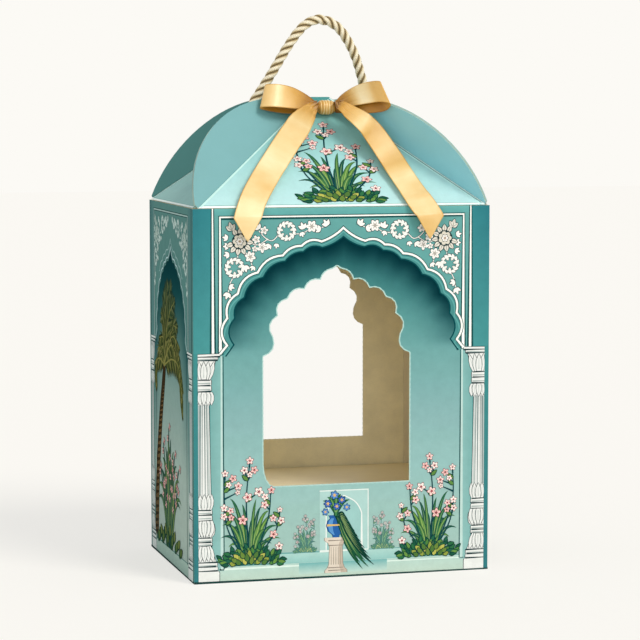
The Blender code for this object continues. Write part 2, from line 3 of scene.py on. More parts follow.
import bmesh
import bpy
from mathutils import Matrix, Vector, kdtree, noise
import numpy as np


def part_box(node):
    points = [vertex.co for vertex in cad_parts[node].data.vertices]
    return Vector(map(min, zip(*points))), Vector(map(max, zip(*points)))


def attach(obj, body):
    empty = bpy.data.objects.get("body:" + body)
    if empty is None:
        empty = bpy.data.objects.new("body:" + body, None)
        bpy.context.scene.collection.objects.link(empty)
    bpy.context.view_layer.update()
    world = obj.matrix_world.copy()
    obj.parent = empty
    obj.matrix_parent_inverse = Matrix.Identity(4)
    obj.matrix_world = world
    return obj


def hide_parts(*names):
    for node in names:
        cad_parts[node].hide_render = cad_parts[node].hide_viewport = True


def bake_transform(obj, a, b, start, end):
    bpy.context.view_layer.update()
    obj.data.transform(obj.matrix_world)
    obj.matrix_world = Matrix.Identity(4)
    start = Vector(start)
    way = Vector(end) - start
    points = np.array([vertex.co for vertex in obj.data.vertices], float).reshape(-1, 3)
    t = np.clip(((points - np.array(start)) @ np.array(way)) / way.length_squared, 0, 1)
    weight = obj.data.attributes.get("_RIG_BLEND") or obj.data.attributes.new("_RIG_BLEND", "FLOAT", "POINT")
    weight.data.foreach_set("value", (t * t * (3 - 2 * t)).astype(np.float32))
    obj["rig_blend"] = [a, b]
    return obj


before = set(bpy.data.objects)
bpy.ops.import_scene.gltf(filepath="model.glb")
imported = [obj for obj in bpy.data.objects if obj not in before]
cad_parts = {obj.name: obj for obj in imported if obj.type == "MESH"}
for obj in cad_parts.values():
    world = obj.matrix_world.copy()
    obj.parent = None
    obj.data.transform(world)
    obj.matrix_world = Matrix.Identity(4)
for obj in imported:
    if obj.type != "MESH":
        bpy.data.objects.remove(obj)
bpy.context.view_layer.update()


# ---- Camera, floor and lamps ----
# The box stands on a seamless sheet of pale studio paper. A large soft lamp stands far off at
# the front right and above, a weaker one low at the front left, and the pale room lights the
# rest.

def linear(code):
    """An sRGB hex colour as the linear numbers that Blender works in."""
    parts = [int(code[k:k + 2], 16) / 255 for k in (1, 3, 5)]
    return (*[p / 12.92 if p < 0.0405 else ((p + 0.055) / 1.055) ** 2.4 for p in parts], 1)


def node(tree, kind, inputs=(), stops=(), **settings):
    """A new node with its settings and colour stops; its inputs are set, or linked to a node's
    first output or to a socket."""
    made = tree.nodes.new("ShaderNode" + kind)
    for name, value in settings.items():
        setattr(made, name, value)
    for key, value in dict(inputs).items():
        if isinstance(value, bpy.types.Node):
            tree.links.new(value.outputs[0], made.inputs[key])
        elif isinstance(value, bpy.types.NodeSocket):
            tree.links.new(value, made.inputs[key])
        else:
            made.inputs[key].default_value = value
    for k, (place, code) in enumerate(stops):
        if k < 2:
            made.color_ramp.elements[k].position = place
        else:
            made.color_ramp.elements.new(place)
    for k, (place, code) in enumerate(stops):
        made.color_ramp.elements[k].color = linear(code)
    return made


def emptied_tree(owner):
    """The node tree of a new world or material, with nothing in it."""
    owner.use_nodes = True
    owner.node_tree.nodes.clear()
    return owner.node_tree


def eye_rays(tree):
    """1 for the rays of the camera, mirrored and passed on too, and 0 for those that only light."""
    ray = node(tree, "LightPath")
    found = ray.outputs["Is Camera Ray"]
    for kind in ("Is Glossy Ray", "Is Transmission Ray"):
        found = node(tree, "Math", {0: found, 1: ray.outputs[kind]}, operation="MAXIMUM")
    return found


CAMERA_LENS, CAMERA_SENSOR = 139.05, 36
CAMERA_PLACE = (-0.4345, -1.6123, 0.3195)
CAMERA_TURN = (84.65, 0, -15.19)
LAMP_WHITE = "#fffaf2"
FLOOR_SIZE, FLOOR_CELLS = 12.0, 8
FLOOR_GLOW = 0.60
ROOM_LIGHT = 0.58

camera_data = bpy.data.cameras.new("camera")
camera_data.lens, camera_data.sensor_width = CAMERA_LENS, CAMERA_SENSOR
camera = bpy.data.objects.new("camera", camera_data)
camera.location = CAMERA_PLACE
camera.rotation_euler = [math.radians(a) for a in CAMERA_TURN]
bpy.context.scene.collection.objects.link(camera)
bpy.context.scene.camera = camera
bpy.context.scene.view_settings.view_transform = "Standard"

# Each lamp's strength, the degrees that it spreads over, and the way from the box to it
for name, energy, spread, way in (
    ("soft_key", 1.75, 24, (0.95, -1.40, 1.50)),
    ("soft_fill", 0.55, 40, (-0.50, -1.50, 0.32)),
):
    lamp_data = bpy.data.lights.new(name, "SUN")
    lamp_data.energy, lamp_data.angle = energy, math.radians(spread)
    lamp_data.color = linear(LAMP_WHITE)[:3]
    lamp = bpy.data.objects.new(name, lamp_data)
    lamp.rotation_euler = Vector(way).to_track_quat("Z", "Y").to_euler()
    bpy.context.scene.collection.objects.link(lamp)

# The room lights the box more softly than the white that the camera sees behind it
world = bpy.data.worlds.new("pale_room")
bpy.context.scene.world = world
tree = emptied_tree(world)
seen = eye_rays(tree)
room = node(tree, "Background", {"Color": linear("#ffffff"), "Strength": ROOM_LIGHT})
backdrop = node(tree, "Background", {"Color": linear("#fcfaf5"), "Strength": 1.0})
sky = node(tree, "MixShader", {0: seen, 1: room, 2: backdrop})
node(tree, "OutputWorld", {"Surface": sky})

bm = bmesh.new()
bmesh.ops.create_grid(bm, x_segments=FLOOR_CELLS, y_segments=FLOOR_CELLS, size=FLOOR_SIZE / 2)
floor_mesh = bpy.data.meshes.new("studio_floor")
bm.to_mesh(floor_mesh)
bm.free()
floor = bpy.data.objects.new("studio_floor", floor_mesh)
bpy.context.scene.collection.objects.link(floor)

# Paper: matt, and lit from all round, so to the camera it glows faintly and its shadow stays soft
paper = bpy.data.materials.new("matt_studio_paper")
tree = emptied_tree(paper)
share = node(tree, "Math", {0: eye_rays(tree), 1: FLOOR_GLOW}, operation="MULTIPLY")
matt = node(tree, "BsdfDiffuse", {"Color": linear("#f6f3ec")})
glow = node(tree, "Emission", {"Color": linear("#fffefb"), "Strength": 1.0})
sheet = node(tree, "MixShader", {0: share, 1: matt, 2: glow})
node(tree, "OutputMaterial", {"Surface": sheet})
floor_mesh.materials.append(paper)


# ---- Handle rope ----
# One soft cord of three twisted golden strands, tied off under each side flap. It comes up
# through the punched holes and meets above the ridge; it is shown here as its two halves.

MM = 0.001


def clamped(number, low=0, high=1):
    """The number, or the nearer limit when it is past one."""
    return min(high, max(low, number))


def smooth_line(points, steps, closed=False):
    """Points on a smooth curve through the given ones, steps to each gap."""
    count = len(points)
    made = []
    for k in range(count if closed else count - 1):
        four = range(k - 1, k + 3)
        near = [points[i % count if closed else clamped(i, 0, count - 1)] for i in four]
        for i in range(steps):
            t = i / steps
            shares = (
                -0.5 * t + t * t - 0.5 * t ** 3, 1 - 2.5 * t * t + 1.5 * t ** 3,
                0.5 * t + 2 * t * t - 1.5 * t ** 3, -0.5 * t * t + 0.5 * t ** 3,
            )
            made.append(sum((s * p for s, p in zip(shares, near)), near[0] * 0))
    return made if closed else made + [points[-1]]


def even_line(points, gap):
    """The same line with points at even gaps of about that length, and how far along each is."""
    reached = [0.0]
    for p, q in zip(points, points[1:]):
        reached.append(reached[-1] + (q - p).length)
    count = max(2, round(reached[-1] / gap))
    made, k = [], 0
    for i in range(count + 1):
        at = reached[-1] * i / count
        while k < len(points) - 2 and reached[k + 1] < at:
            k += 1
        share = (at - reached[k]) / max(reached[k + 1] - reached[k], 1e-12)
        made.append((at, points[k].lerp(points[k + 1], clamped(share))))
    return made


def run_at(points, k):
    """The way that a line runs at its point k, from the one before to the one after."""
    return points[min(k + 1, len(points) - 1)] - points[max(k - 1, 0)]


def corners_of(edges):
    """The corners of some edges, each once and always in the same order."""
    return list(dict.fromkeys(v for e in edges for v in e.verts))


def started(*layers):
    """A new bmesh, and its layers of numbers on corners with those names."""
    bm = bmesh.new()
    return (bm, *[bm.verts.layers.float.new(layer) for layer in layers])


def sweep_on(bm, edges, stations):
    """Extrude edges from the first station on through the others.

    Each station is its way along and the matrix that puts a unit section there.
    """
    along = bm.verts.layers.float["along"]
    for (_, before), (way, after) in zip(stations, stations[1:]):
        grown = bmesh.ops.extrude_edge_only(bm, edges=edges)["geom"]
        verts = [g for g in grown if isinstance(g, bmesh.types.BMVert)]
        edges = [g for g in grown if isinstance(g, bmesh.types.BMEdge)]
        bmesh.ops.transform(bm, matrix=after @ before.inverted(), verts=verts)
        for v in verts:
            v[along] = way
    return edges


def sweep(bm, edges, stations):
    """Put the edges of a unit section at the first station and extrude them through all."""
    along = bm.verts.layers.float["along"]
    verts = corners_of(edges)
    bmesh.ops.transform(bm, matrix=stations[0][1], verts=verts)
    for v in verts:
        v[along] = stations[0][0]
    return sweep_on(bm, edges, stations)


def frame_at(centre, across, up):
    """The matrix that puts a unit section at centre, with its own x on across and y on up."""
    facing = across.cross(up).normalized()
    rows = Matrix((across, up, facing)).transposed().to_4x4()
    rows.translation = centre
    return rows


def put_in_order(bm):
    """Put the faces in the order of their corners, since extruding leaves it to chance."""
    bm.verts.index_update()
    by_corners = sorted(bm.faces, key=lambda face: sorted(v.index for v in face.verts))
    for k, face in enumerate(by_corners):
        face.index = k
    bm.faces.sort()


def write_uv(bm, turn):
    """A UV map of metres along and the section's own share across, closed after one turn."""
    put_in_order(bm)
    along, across = bm.verts.layers.float["along"], bm.verts.layers.float["across"]
    uv = bm.loops.layers.uv.new("UVMap")
    for face in bm.faces:
        shares = [loop.vert[across] for loop in face.loops]
        torn = turn and max(shares) - min(shares) > turn / 2
        for loop, share in zip(face.loops, shares):
            closing = turn if torn and share < turn / 2 else 0
            loop[uv].uv = (loop.vert[along], share + closing)


def piece(name, bm, surface, body, face_out=True):
    """A bmesh as a named, smooth-shaded piece that rides on a body."""
    if face_out:
        bmesh.ops.recalc_face_normals(bm, faces=bm.faces)
    mesh = bpy.data.meshes.new(name)
    bm.to_mesh(mesh)
    bm.free()
    mesh.materials.append(surface)
    mesh.shade_smooth()
    made = bpy.data.objects.new(name, mesh)
    bpy.context.scene.collection.objects.link(made)
    if body:
        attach(made, body)
    return made


def start_material(name, uniform):
    """A new material with its uniform numbers set, its nodes, shader and surface position."""
    made = bpy.data.materials.new(name)
    made.use_nodes = True
    tree = made.node_tree
    shader = tree.nodes["Principled BSDF"]
    for key, value in uniform.items():
        shader.inputs[key].default_value = value
    return made, tree, shader, node(tree, "TexCoord")


# Rayon cord: bright filaments laid in strands. Its colour is painted from each point's reach from the cord's
# axis: painted shade brown in the grooves, a painted highlight pale on the crowns.
# Real yarns are 0.45 mm apart; here they are drawn at 0.5 mm so that they show.
STRAND_YARNS = 16
YARN_LAY = 0.012
CORD_SHADE_TO_HIGHLIGHT = [
    (0.52, "#57431f"), (0.72, "#8c7647"), (0.84, "#b29d6f"), (0.93, "#d2c298"), (0.985, "#f3ebd2"),
]
cord_gold, tree, shader, place = start_material(
    "laid_rayon_cord",
    {"Roughness": 0.5, "IOR": 1.5, "Sheen Weight": 0.25, "Sheen Roughness": 0.4},
)
# Painted shade and highlight: the reach from the cord's axis runs the colour from brown grooves to pale
# crowns
depth = node(tree, "Attribute", attribute_name="reach")
steps = node(tree, "SeparateXYZ", {0: place.outputs["UV"]})
along_lay = {0: steps, 1: 1 / YARN_LAY, 2: steps.outputs[1]}
yarn = node(tree, "Math", along_lay, operation="MULTIPLY_ADD")
yarn = node(tree, "Math", {0: yarn, 1: STRAND_YARNS * 2 * math.pi}, operation="MULTIPLY")
yarn = node(tree, "Math", {0: yarn}, operation="SINE")
fuzz = node(tree, "TexNoise", {"Vector": place.outputs["Object"], "Scale": 900.0, "Detail": 3.0})
level = node(tree, "Math", {0: yarn, 1: 0.055, 2: depth.outputs["Fac"]}, operation="MULTIPLY_ADD")
level = node(tree, "Math", {0: fuzz, 1: 0.08, 2: level}, operation="MULTIPLY_ADD")
tone = node(tree, "ValToRGB", {0: level}, stops=CORD_SHADE_TO_HIGHLIGHT)
tree.links.new(tone.outputs[0], shader.inputs["Base Color"])
bump = node(tree, "Bump", {"Height": yarn, "Distance": 0.00008, "Strength": 0.7})
tree.links.new(bump.outputs[0], shader.inputs["Normal"])

ROPE_LAY = 0.0193
ROPE_STRANDS = 3
STRAND_ARM = 0.00177
STRAND_THICKNESS = 0.00153
STRAND_BREADTH = 0.00178
STRAND_SIDES = 14
STATION_GAP = 0.0007
ROUTE_STEPS = 8
# The heights between which a half bends with its flap
BLEND_FOOT, BLEND_TOP = 0.2865, 0.3655
# The halves' routes over the box, across and up in millimetres
ROUTES = {
    "left": [
        (-42.71, 285.47), (-47.47, 292.18), (-47.19, 300.43), (-44.16, 308.17), (-39.68, 315.18),
        (-35.08, 322.12), (-30.53, 329.09), (-26.16, 336.18), (-21.82, 343.29), (-17.21, 350.22),
        (-12.21, 356.88), (-6.24, 362.65), (1.41, 365.74), (5.45, 365.055),
    ],
    "right": [
        (5.45, 365.055), (9.48, 364.37), (16.38, 359.77), (21.48, 353.22), (25.63, 346.00),
        (28.87, 338.34), (31.33, 330.39), (33.52, 322.36), (36.30, 314.52), (39.87, 307.00),
        (44.08, 299.82), (47.22, 292.16), (42.71, 285.47),
    ],
}
laid = 0.0
for side, route in ROUTES.items():
    curve = smooth_line([Vector((x, 0, z)) * MM for x, z in route], ROUTE_STEPS)
    ways, line = zip(*even_line(curve, STATION_GAP))
    bm, along, across, reach = started("along", "across", "reach")
    for strand in range(ROPE_STRANDS):
        centres, arms = [], []
        for k, (way, p) in enumerate(zip(ways, line)):
            ahead = run_at(line, k).normalized()
            turn = 2 * math.pi * ((laid + way) / ROPE_LAY + strand / ROPE_STRANDS)
            flat = Vector((0, 1, 0))
            arms.append(flat * math.cos(turn) + ahead.cross(flat) * math.sin(turn))
            centres.append(p + arms[-1] * STRAND_ARM)
        stations = []
        for k, (way, centre, arm) in enumerate(zip(ways, centres, arms)):
            ahead = run_at(centres, k).normalized()
            outward = (arm - ahead * arm.dot(ahead)).normalized()
            sideways = ahead.cross(outward) * STRAND_BREADTH
            stations.append((way, frame_at(centre, sideways, outward * STRAND_THICKNESS)))
        section = bmesh.ops.create_circle(bm, segments=STRAND_SIDES, radius=1)["verts"]
        for v in section:
            v[across] = math.atan2(v.co.y, v.co.x) / (2 * math.pi) % 1
            outermost = STRAND_ARM + STRAND_THICKNESS
            # The reach carries the painted shade of the grooves and the painted highlight of the crowns
            v[reach] = (STRAND_ARM + v.co.y * STRAND_THICKNESS) / outermost
        start = list(dict.fromkeys(e for v in section for e in v.link_edges))
        end = sweep(bm, start, stations)
        bmesh.ops.contextual_create(bm, geom=start)
        bmesh.ops.contextual_create(bm, geom=end)
    write_uv(bm, 1)
    rope = piece("handle_rope_%s_twist" % side, bm, cord_gold, None)
    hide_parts("handle_rope_" + side)
    foot = line[0] if side == "left" else line[-1]
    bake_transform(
        rope, side + "_flap", "box",
        start=(foot.x, 0, BLEND_FOOT), end=(foot.x * 0.25, 0, BLEND_TOP),
    )
    laid += ways[-1]


# ---- Case walls ----
# Folding carton of 1 mm board, golden kraft inside. Teal ink is printed and laminated on the
# outer face, and the window is die-cut, so the board's pale core shows round the cut edges.

# Each side of the box: its way out, half its width, and how far out its wall stands
HALF_WIDE, HALF_DEEP = 100.0, 70.0
SIDES = {
    "front": ((0, -1, 0), HALF_WIDE, HALF_DEEP),
    "back": ((0, 1, 0), HALF_WIDE, HALF_DEEP),
    "left": ((-1, 0, 0), HALF_DEEP, HALF_WIDE),
    "right": ((1, 0, 0), HALF_DEEP, HALF_WIDE),
}
KRAFT, CUT_PULP = "#f3e4b6", "#ebe2c6"
# The walls' ink and their inside kraft. The back's inside is painted lighter and the right's darker and
# yellower, as painted light and shade from the windows.
WALL_INKS_AND_INSIDE_PAINTED_LIGHT = {
    "front": ("#5b9a98", KRAFT), "back": ("#5b9a98", "#fff6d2"),
    "left": ("#57827c", KRAFT), "right": ("#57827c", "#e2cb90"),
}


def mixed(first, second, share):
    """A hex colour between two others."""
    pairs = zip(bytes.fromhex(first[1:]), bytes.fromhex(second[1:]))
    return "#%02x%02x%02x" % tuple(round(a + (b - a) * clamped(share)) for a, b in pairs)


def shaded(code, share):
    """A hex colour with each of its numbers cut to a share."""
    return "#%02x%02x%02x" % tuple(int(c * share) for c in bytes.fromhex(code[1:]))


def laminated_board(name, outward, printed, inside=KRAFT, core=CUT_PULP):
    """Laminated carton board: printed on the outward side, kraft on the other, core at the cuts.

    The film gives a soft even gloss with a faint orange peel; kraft is matt with fibres about
    1.5 mm long.
    """
    made, tree, shader, place = start_material(
        name, {"Roughness": 0.46, "IOR": 1.46, "Specular IOR Level": 0.35},
    )
    spot = place.outputs["Object"]
    facing = {0: place.outputs["Normal"], 1: outward}
    side = node(tree, "VectorMath", facing, operation="DOT_PRODUCT").outputs["Value"]
    is_print = node(tree, "Math", {0: side, 1: 0.5}, operation="GREATER_THAN")
    is_inside = node(tree, "Math", {0: side, 1: -0.5}, operation="LESS_THAN")
    cloud = node(tree, "TexNoise", {"Vector": spot, "Scale": 45.0, "Detail": 4.0, "Roughness": 0.6})
    drawn = node(tree, "Mapping", {"Vector": spot, "Scale": (1, 1, 3.5)})
    threads = {"Vector": drawn, "Scale": 650.0, "Detail": 3.0, "Distortion": 1.2}
    fibres = node(tree, "TexNoise", threads)
    mottled = node(tree, "Math", {0: fibres, 1: 0.35, 2: cloud}, operation="MULTIPLY_ADD")
    kraft, ink, pulp = (
        node(tree, "ValToRGB", {0: mottled}, [(low, shaded(code, share)), (low + 0.5, code)])
        for low, share, code in ((0.45, 0.90, inside), (0.45, 0.97, printed), (0.4, 0.92, core))
    )
    bare = node(tree, "MixRGB", {"Fac": is_inside, "Color1": pulp, "Color2": kraft})
    colour = node(tree, "MixRGB", {"Fac": is_print, "Color1": bare, "Color2": ink})
    tree.links.new(colour.outputs[0], shader.inputs["Base Color"])
    gloss = node(tree, "MapRange", {0: is_print, 3: 0.72, 4: 0.44})
    tree.links.new(gloss.outputs[0], shader.inputs["Roughness"])
    bump = node(tree, "Bump", {"Height": fibres, "Distance": 0.00004, "Strength": 0.35})
    tree.links.new(bump.outputs[0], shader.inputs["Normal"])
    return made


def dress(names, surface):
    """Give the CAD nodes a better material."""
    for name in names:
        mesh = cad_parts[name].data
        mesh.materials.clear()
        mesh.materials.append(surface)


for side, (printed, inside) in WALL_INKS_AND_INSIDE_PAINTED_LIGHT.items():
    board = laminated_board("teal_board_" + side, SIDES[side][0], printed, inside)
    dress([side + "_wall"], board)
dress(["seam_flap"], laminated_board("kraft_seam", (0, 0, 1), KRAFT))

# Offset ink under a matt laminate: a clean even tone, with a slight mottle from the board below
printed_ink, tree, shader, place = start_material(
    "laminated_offset_ink", {"Roughness": 0.55, "IOR": 1.46, "Specular IOR Level": 0.0},
)
tint = node(tree, "Attribute", attribute_name="ink")
grain = {"Vector": place.outputs["Object"], "Scale": 160.0, "Detail": 5.0, "Roughness": 0.7}
mottle = node(tree, "TexNoise", grain)
mottle = node(tree, "MapRange", {0: mottle, 1: 0.3, 2: 0.7, 3: 0.95, 4: 1.05})
colour = node(tree, "VectorMath", {0: tint, "Scale": mottle}, operation="SCALE")
peel = node(tree, "TexNoise", {"Vector": place.outputs["Object"], "Scale": 650.0, "Detail": 3.0})
tree.links.new(colour.outputs[0], shader.inputs["Base Color"])
bump = node(tree, "Bump", {"Height": peel, "Distance": 0.00003, "Strength": 0.3})
tree.links.new(bump.outputs[0], shader.inputs["Normal"])

# One level of ink is this thick, in metres, and the shapes on a level share out this much of it
INK_LIFT = 0.000012
LEVEL_SHARED = 0.9
SHAPES_APART = 23
FACES_PER_BANK = 120
HAZE = "#93c2bf"


class Print:
    """Flat ink shapes on one face of the board, drawn in millimetres, each on a level of ink."""

    def __init__(self, place):
        self.place, self.parts, self.count = place, [], 0
        self.flip, self.steps, self.haze = 1, (1.0, 0.0), 0.0
        self.start()

    def start(self):
        """Open an empty mesh for the next shapes."""
        self.bm = bmesh.new()
        self.tint = self.bm.loops.layers.float_color.new("ink")

    def bank(self):
        """Put the shapes so far aside."""
        self.parts.append(bpy.data.meshes.new("shapes"))
        self.bm.to_mesh(self.parts[-1])
        self.bm.free()
        self.start()

    def make_room(self):
        """Bank the shapes when there are many, so that the operators work on a small mesh."""
        if len(self.bm.faces) > FACES_PER_BANK:
            self.bank()

    def where(self, flip=None, scale=1.0, shift=0.0, haze=0.0):
        """Draw from here on mirrored, scaled and shifted across, or paled by distance."""
        self.flip = flip or self.flip
        self.steps, self.haze = (scale, shift), haze

    def at(self, point, level):
        """Where a point of the drawing lies in the room."""
        scale, shift = self.steps
        return self.place((point[0] * scale + shift) * self.flip, point[1], level)

    def apart(self, level):
        """The level, a hair higher for each next shape, so that no two share a plane."""
        self.count += 1
        return level + self.count % SHAPES_APART / SHAPES_APART * LEVEL_SHARED

    def ink(self, faces, code):
        """Colour some faces, through the haze that lies over them."""
        tint = linear(mixed(code, HAZE, self.haze))
        for face in faces:
            for loop in face.loops:
                loop[self.tint] = tint

    def patch(self, outline, code, level):
        """A filled outline."""
        level = self.apart(level)
        self.make_room()
        corners = [self.bm.verts.new(self.at(p, level)) for p in outline]
        edges = [self.bm.edges.new(pair) for pair in zip(corners, corners[1:] + corners[:1])]
        self.ink(bmesh.ops.contextual_create(self.bm, geom=edges)["faces"], code)

    def rimmed(self, grown, rim, outline, code, level):
        """A filled outline over a larger one, which shows as its rim."""
        self.patch(grown, rim, level)
        self.patch(outline, code, level + 1)

    def fade(self, low, high, codes, level):
        """An upright rectangle whose ink runs from its foot's code to its head's.

        Four codes are those of its left foot, right foot, right head and left head.
        """
        level = self.apart(level)
        places = ((low[0], low[1]), (high[0], low[1]), high, (low[0], high[1]))
        corners = [self.bm.verts.new(self.at(c, level)) for c in places]
        codes = codes if len(codes) == 4 else [c for c in codes for _ in range(2)]
        for loop in self.bm.faces.new(corners).loops:
            loop[self.tint] = linear(codes[corners.index(loop.vert)])

    def line(self, points, width, code, level, closed=False):
        """A stroke along points; width is a number, or a function of the share of the way."""
        level = self.apart(level)
        self.make_room()
        points = [Vector(p) for p in points]
        count = len(points)
        before = None
        for k in range(count + closed):
            p = points[k % count]
            a = points[(k - 1) % count] if closed or k else p
            b = points[(k + 1) % count] if closed or k < count - 1 else p
            into, out = (p - a), (b - p)
            into, out = (into or out).normalized(), (out or into).normalized()
            bisector = into + out
            normal = Vector((-bisector.y, bisector.x)).normalized()
            spread = max(0.5, normal.dot(Vector((-into.y, into.x))))
            wide = width(k / max(count - 1, 1)) if callable(width) else width
            half = wide / 2 / spread
            ends = [self.at(p + normal * half, level), self.at(p - normal * half, level)]
            if before is None:
                edge = self.bm.edges.new([self.bm.verts.new(c) for c in ends])
            else:
                grown = bmesh.ops.extrude_edge_only(self.bm, edges=[edge])["geom"]
                edge = next(g for g in grown if isinstance(g, bmesh.types.BMEdge))
                for v in edge.verts:
                    is_first = (v.co - before[0]).length < (v.co - before[1]).length
                    v.co = ends[0] if is_first else ends[1]
                self.ink(edge.link_faces, code)
            before = ends

    def rimmed_line(self, points, wide, rim, narrow, code, level):
        """A stroke over a wider one, which shows as its rim."""
        self.line(points, wide, rim, level)
        self.line(points, narrow, code, level + 1)

    def dot(self, centre, radius, code, level, sides):
        """A round spot."""
        self.patch(ring(centre, radius, sides), code, level)

    def finish(self, name, body, outward):
        """The whole print as one piece, its faces turned outward."""
        self.bank()
        for part in self.parts:
            self.bm.from_mesh(part)
            bpy.data.meshes.remove(part)
        loose = [v for v in self.bm.verts if not v.link_faces]
        bmesh.ops.delete(self.bm, geom=loose, context="VERTS")
        self.bm.normal_update()
        wrong = [f for f in self.bm.faces if f.normal.dot(outward) < 0]
        bmesh.ops.reverse_faces(self.bm, faces=wrong)
        return piece(name, self.bm, printed_ink, body, face_out=False)


def ring(centre, radius, sides):
    """Points round a circle."""
    turns = [2 * math.pi * k / sides for k in range(sides)]
    return [(centre[0] + radius * math.cos(t), centre[1] + radius * math.sin(t)) for t in turns]


def turned(points, place, angle, scale=1.0):
    """The points turned by an angle in degrees, scaled, and moved to place."""
    c, s = math.cos(math.radians(angle)) * scale, math.sin(math.radians(angle)) * scale
    return [(place[0] + x * c - y * s, place[1] + x * s + y * c) for x, y in points]


def around(place, radius, angle):
    """The point that far from place, at an angle in degrees."""
    return turned([(radius, 0)], place, angle)[0]


def flat_line(points, steps=5, closed=False):
    """A smooth curve through points of the drawing."""
    return [tuple(p) for p in smooth_line([Vector(p) for p in points], steps, closed)]


# The cusped arch: scallops that bulge outward between points that turn in
SCALLOP_STEPS = 7
ARCH_CUSPS = [
    (0, 229.6), (14.7, 220.9), (28, 218.3), (40.6, 212.3), (57.3, 201.6), (70.4, 188.3),
    (77.5, 172.5), (77.7, 154.9), (82.4, 149.4),
]
INNER_CUSPS = [
    (0, 223.9), (14.2, 216.9), (26.9, 214.4), (39.0, 208.5), (53.6, 198.4), (66.2, 185.6),
    (72.6, 172.3), (73.2, 155.2), (78.6, 147.8),
]
ARCH_BULGES = [-0.06, 0.17, 0.13, 0.15, 0.17, 0.19, 0.21, 0.0]


def arch_line(cusps, bulges):
    """Half an arch from its point down: each scallop is an arc on its chord."""
    points = []
    for (x0, z0), (x1, z1), bulge in zip(cusps, cusps[1:], bulges):
        for k in range(SCALLOP_STEPS):
            t = k / SCALLOP_STEPS
            rise = 4 * bulge * t * (1 - t)
            across, up = x1 - x0, z1 - z0
            points.append((x0 + across * t - up * rise, z0 + up * t + across * rise))
    return points + [cusps[-1]]


def both_sides(half):
    """A whole arch from its right foot over the point to its left foot."""
    return half[::-1] + [(-x, z) for x, z in half[1:]]


arch_outer = arch_line(ARCH_CUSPS, ARCH_BULGES)
arch_inner = arch_line(INNER_CUSPS, ARCH_BULGES)

# The panel's tones by height, and the shade that the arch's rim throws on it, deepest at the rim
PANEL_TONES = [
    (0, "#9fbdb7"), (30, "#9abdb7"), (70, "#90bab8"), (110, "#82adae"), (150, "#6ba1a1"),
    (185, "#4e8d8d"), (225, "#2f6d6e"),
]
SHADE_UNDER_ARCH = "#022c34"
SHADE_WIDTH, SHADE_FOOT, SHADE_CLIMB = 12.5, 150, 34
arch_points = kdtree.KDTree(len(arch_inner))
for k, (x, z) in enumerate(arch_inner):
    arch_points.insert((x, z, 0), k)
arch_points.balance()


def tone_at(tones, z):
    """The ink at a height, mixed from the two steps of the table that it lies between."""
    k = min(max(i for i, (foot, _) in enumerate(tones) if foot <= max(z, 0)), len(tones) - 2)
    (z0, low), (z1, high) = tones[k], tones[k + 1]
    return mixed(low, high, (z - z0) / (z1 - z0))


def panel_tone(x, z):
    """The panel's ink: paler to the floor, and deep in the shade under the arch."""
    tone = tone_at(PANEL_TONES, z)
    if z < SHADE_FOOT:
        return tone
    near = arch_points.find((abs(x), z, 0))[2]
    climbed = clamped((z - SHADE_FOOT) / SHADE_CLIMB) ** 0.7
    return mixed(tone, SHADE_UNDER_ARCH, math.exp(-((near / SHADE_WIDTH) ** 1.4)) * climbed)


def cut_plane(bm, spot, way, **keep):
    """Cut the whole mesh along a plane."""
    bmesh.ops.bisect_plane(
        bm, geom=bm.verts[:] + bm.edges[:] + bm.faces[:], dist=1e-8,
        plane_co=spot, plane_no=way, **keep,
    )


def wall_skin(node_name, outward, gap, foot):
    """The printed face of a CAD board, lifted a hair and cut to a fine grid for its gradients.

    The foot, if there is one, is a place and a way up: what lies below it is cut off.
    """
    bm = bmesh.new()
    bm.from_mesh(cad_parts[node_name].data)
    bmesh.ops.remove_doubles(bm, verts=bm.verts, dist=1e-7)
    bm.normal_update()
    others = [f for f in bm.faces if f.normal.dot(outward) < 0.9]
    bmesh.ops.delete(bm, geom=others, context="FACES")
    bmesh.ops.translate(bm, verts=bm.verts, vec=outward * INK_LIFT)
    if foot:
        cut_plane(bm, *foot, clear_inner=True)
    lowest = Vector([min(v.co[k] for v in bm.verts) for k in range(3)])
    highest = Vector([max(v.co[k] for v in bm.verts) for k in range(3)])
    for k in range(3):
        axis = Vector([float(j == k) for j in range(3)])
        count = int((highest[k] - lowest[k]) / gap)
        for i in range(1, count):
            cut_plane(bm, lowest.lerp(highest, i / count), axis)
    return bm


def base_coat(p, bm, measure, tone):
    """Lay a wall's skin under a print, each corner inked by its place."""
    tint = bm.loops.layers.float_color.new("ink")
    inks = {v: linear(tone(*measure(v.co))) for v in bm.verts}
    for face in bm.faces:
        for loop in face.loops:
            loop[tint] = inks[loop.vert]
    p.parts.append(bpy.data.meshes.new("coat"))
    bm.to_mesh(p.parts[-1])
    bm.free()


WHITE_LINE, DARK_LINE, SPANDREL = "#f4f7f3", "#1d4f50", "#62a09e"
STONE, STONE_SHADE, STONE_LINE = "#e0e4e3", "#9fadac", "#22393c"
# A carved petal's outline: shares of its length and of half its breadth
PETAL_FORM = [
    (0, -0.72), (0.3, -1), (0.62, -0.82), (0.86, -0.32), (1, 0),
    (0.86, 0.32), (0.62, 0.82), (0.3, 1), (0, 0.72),
]


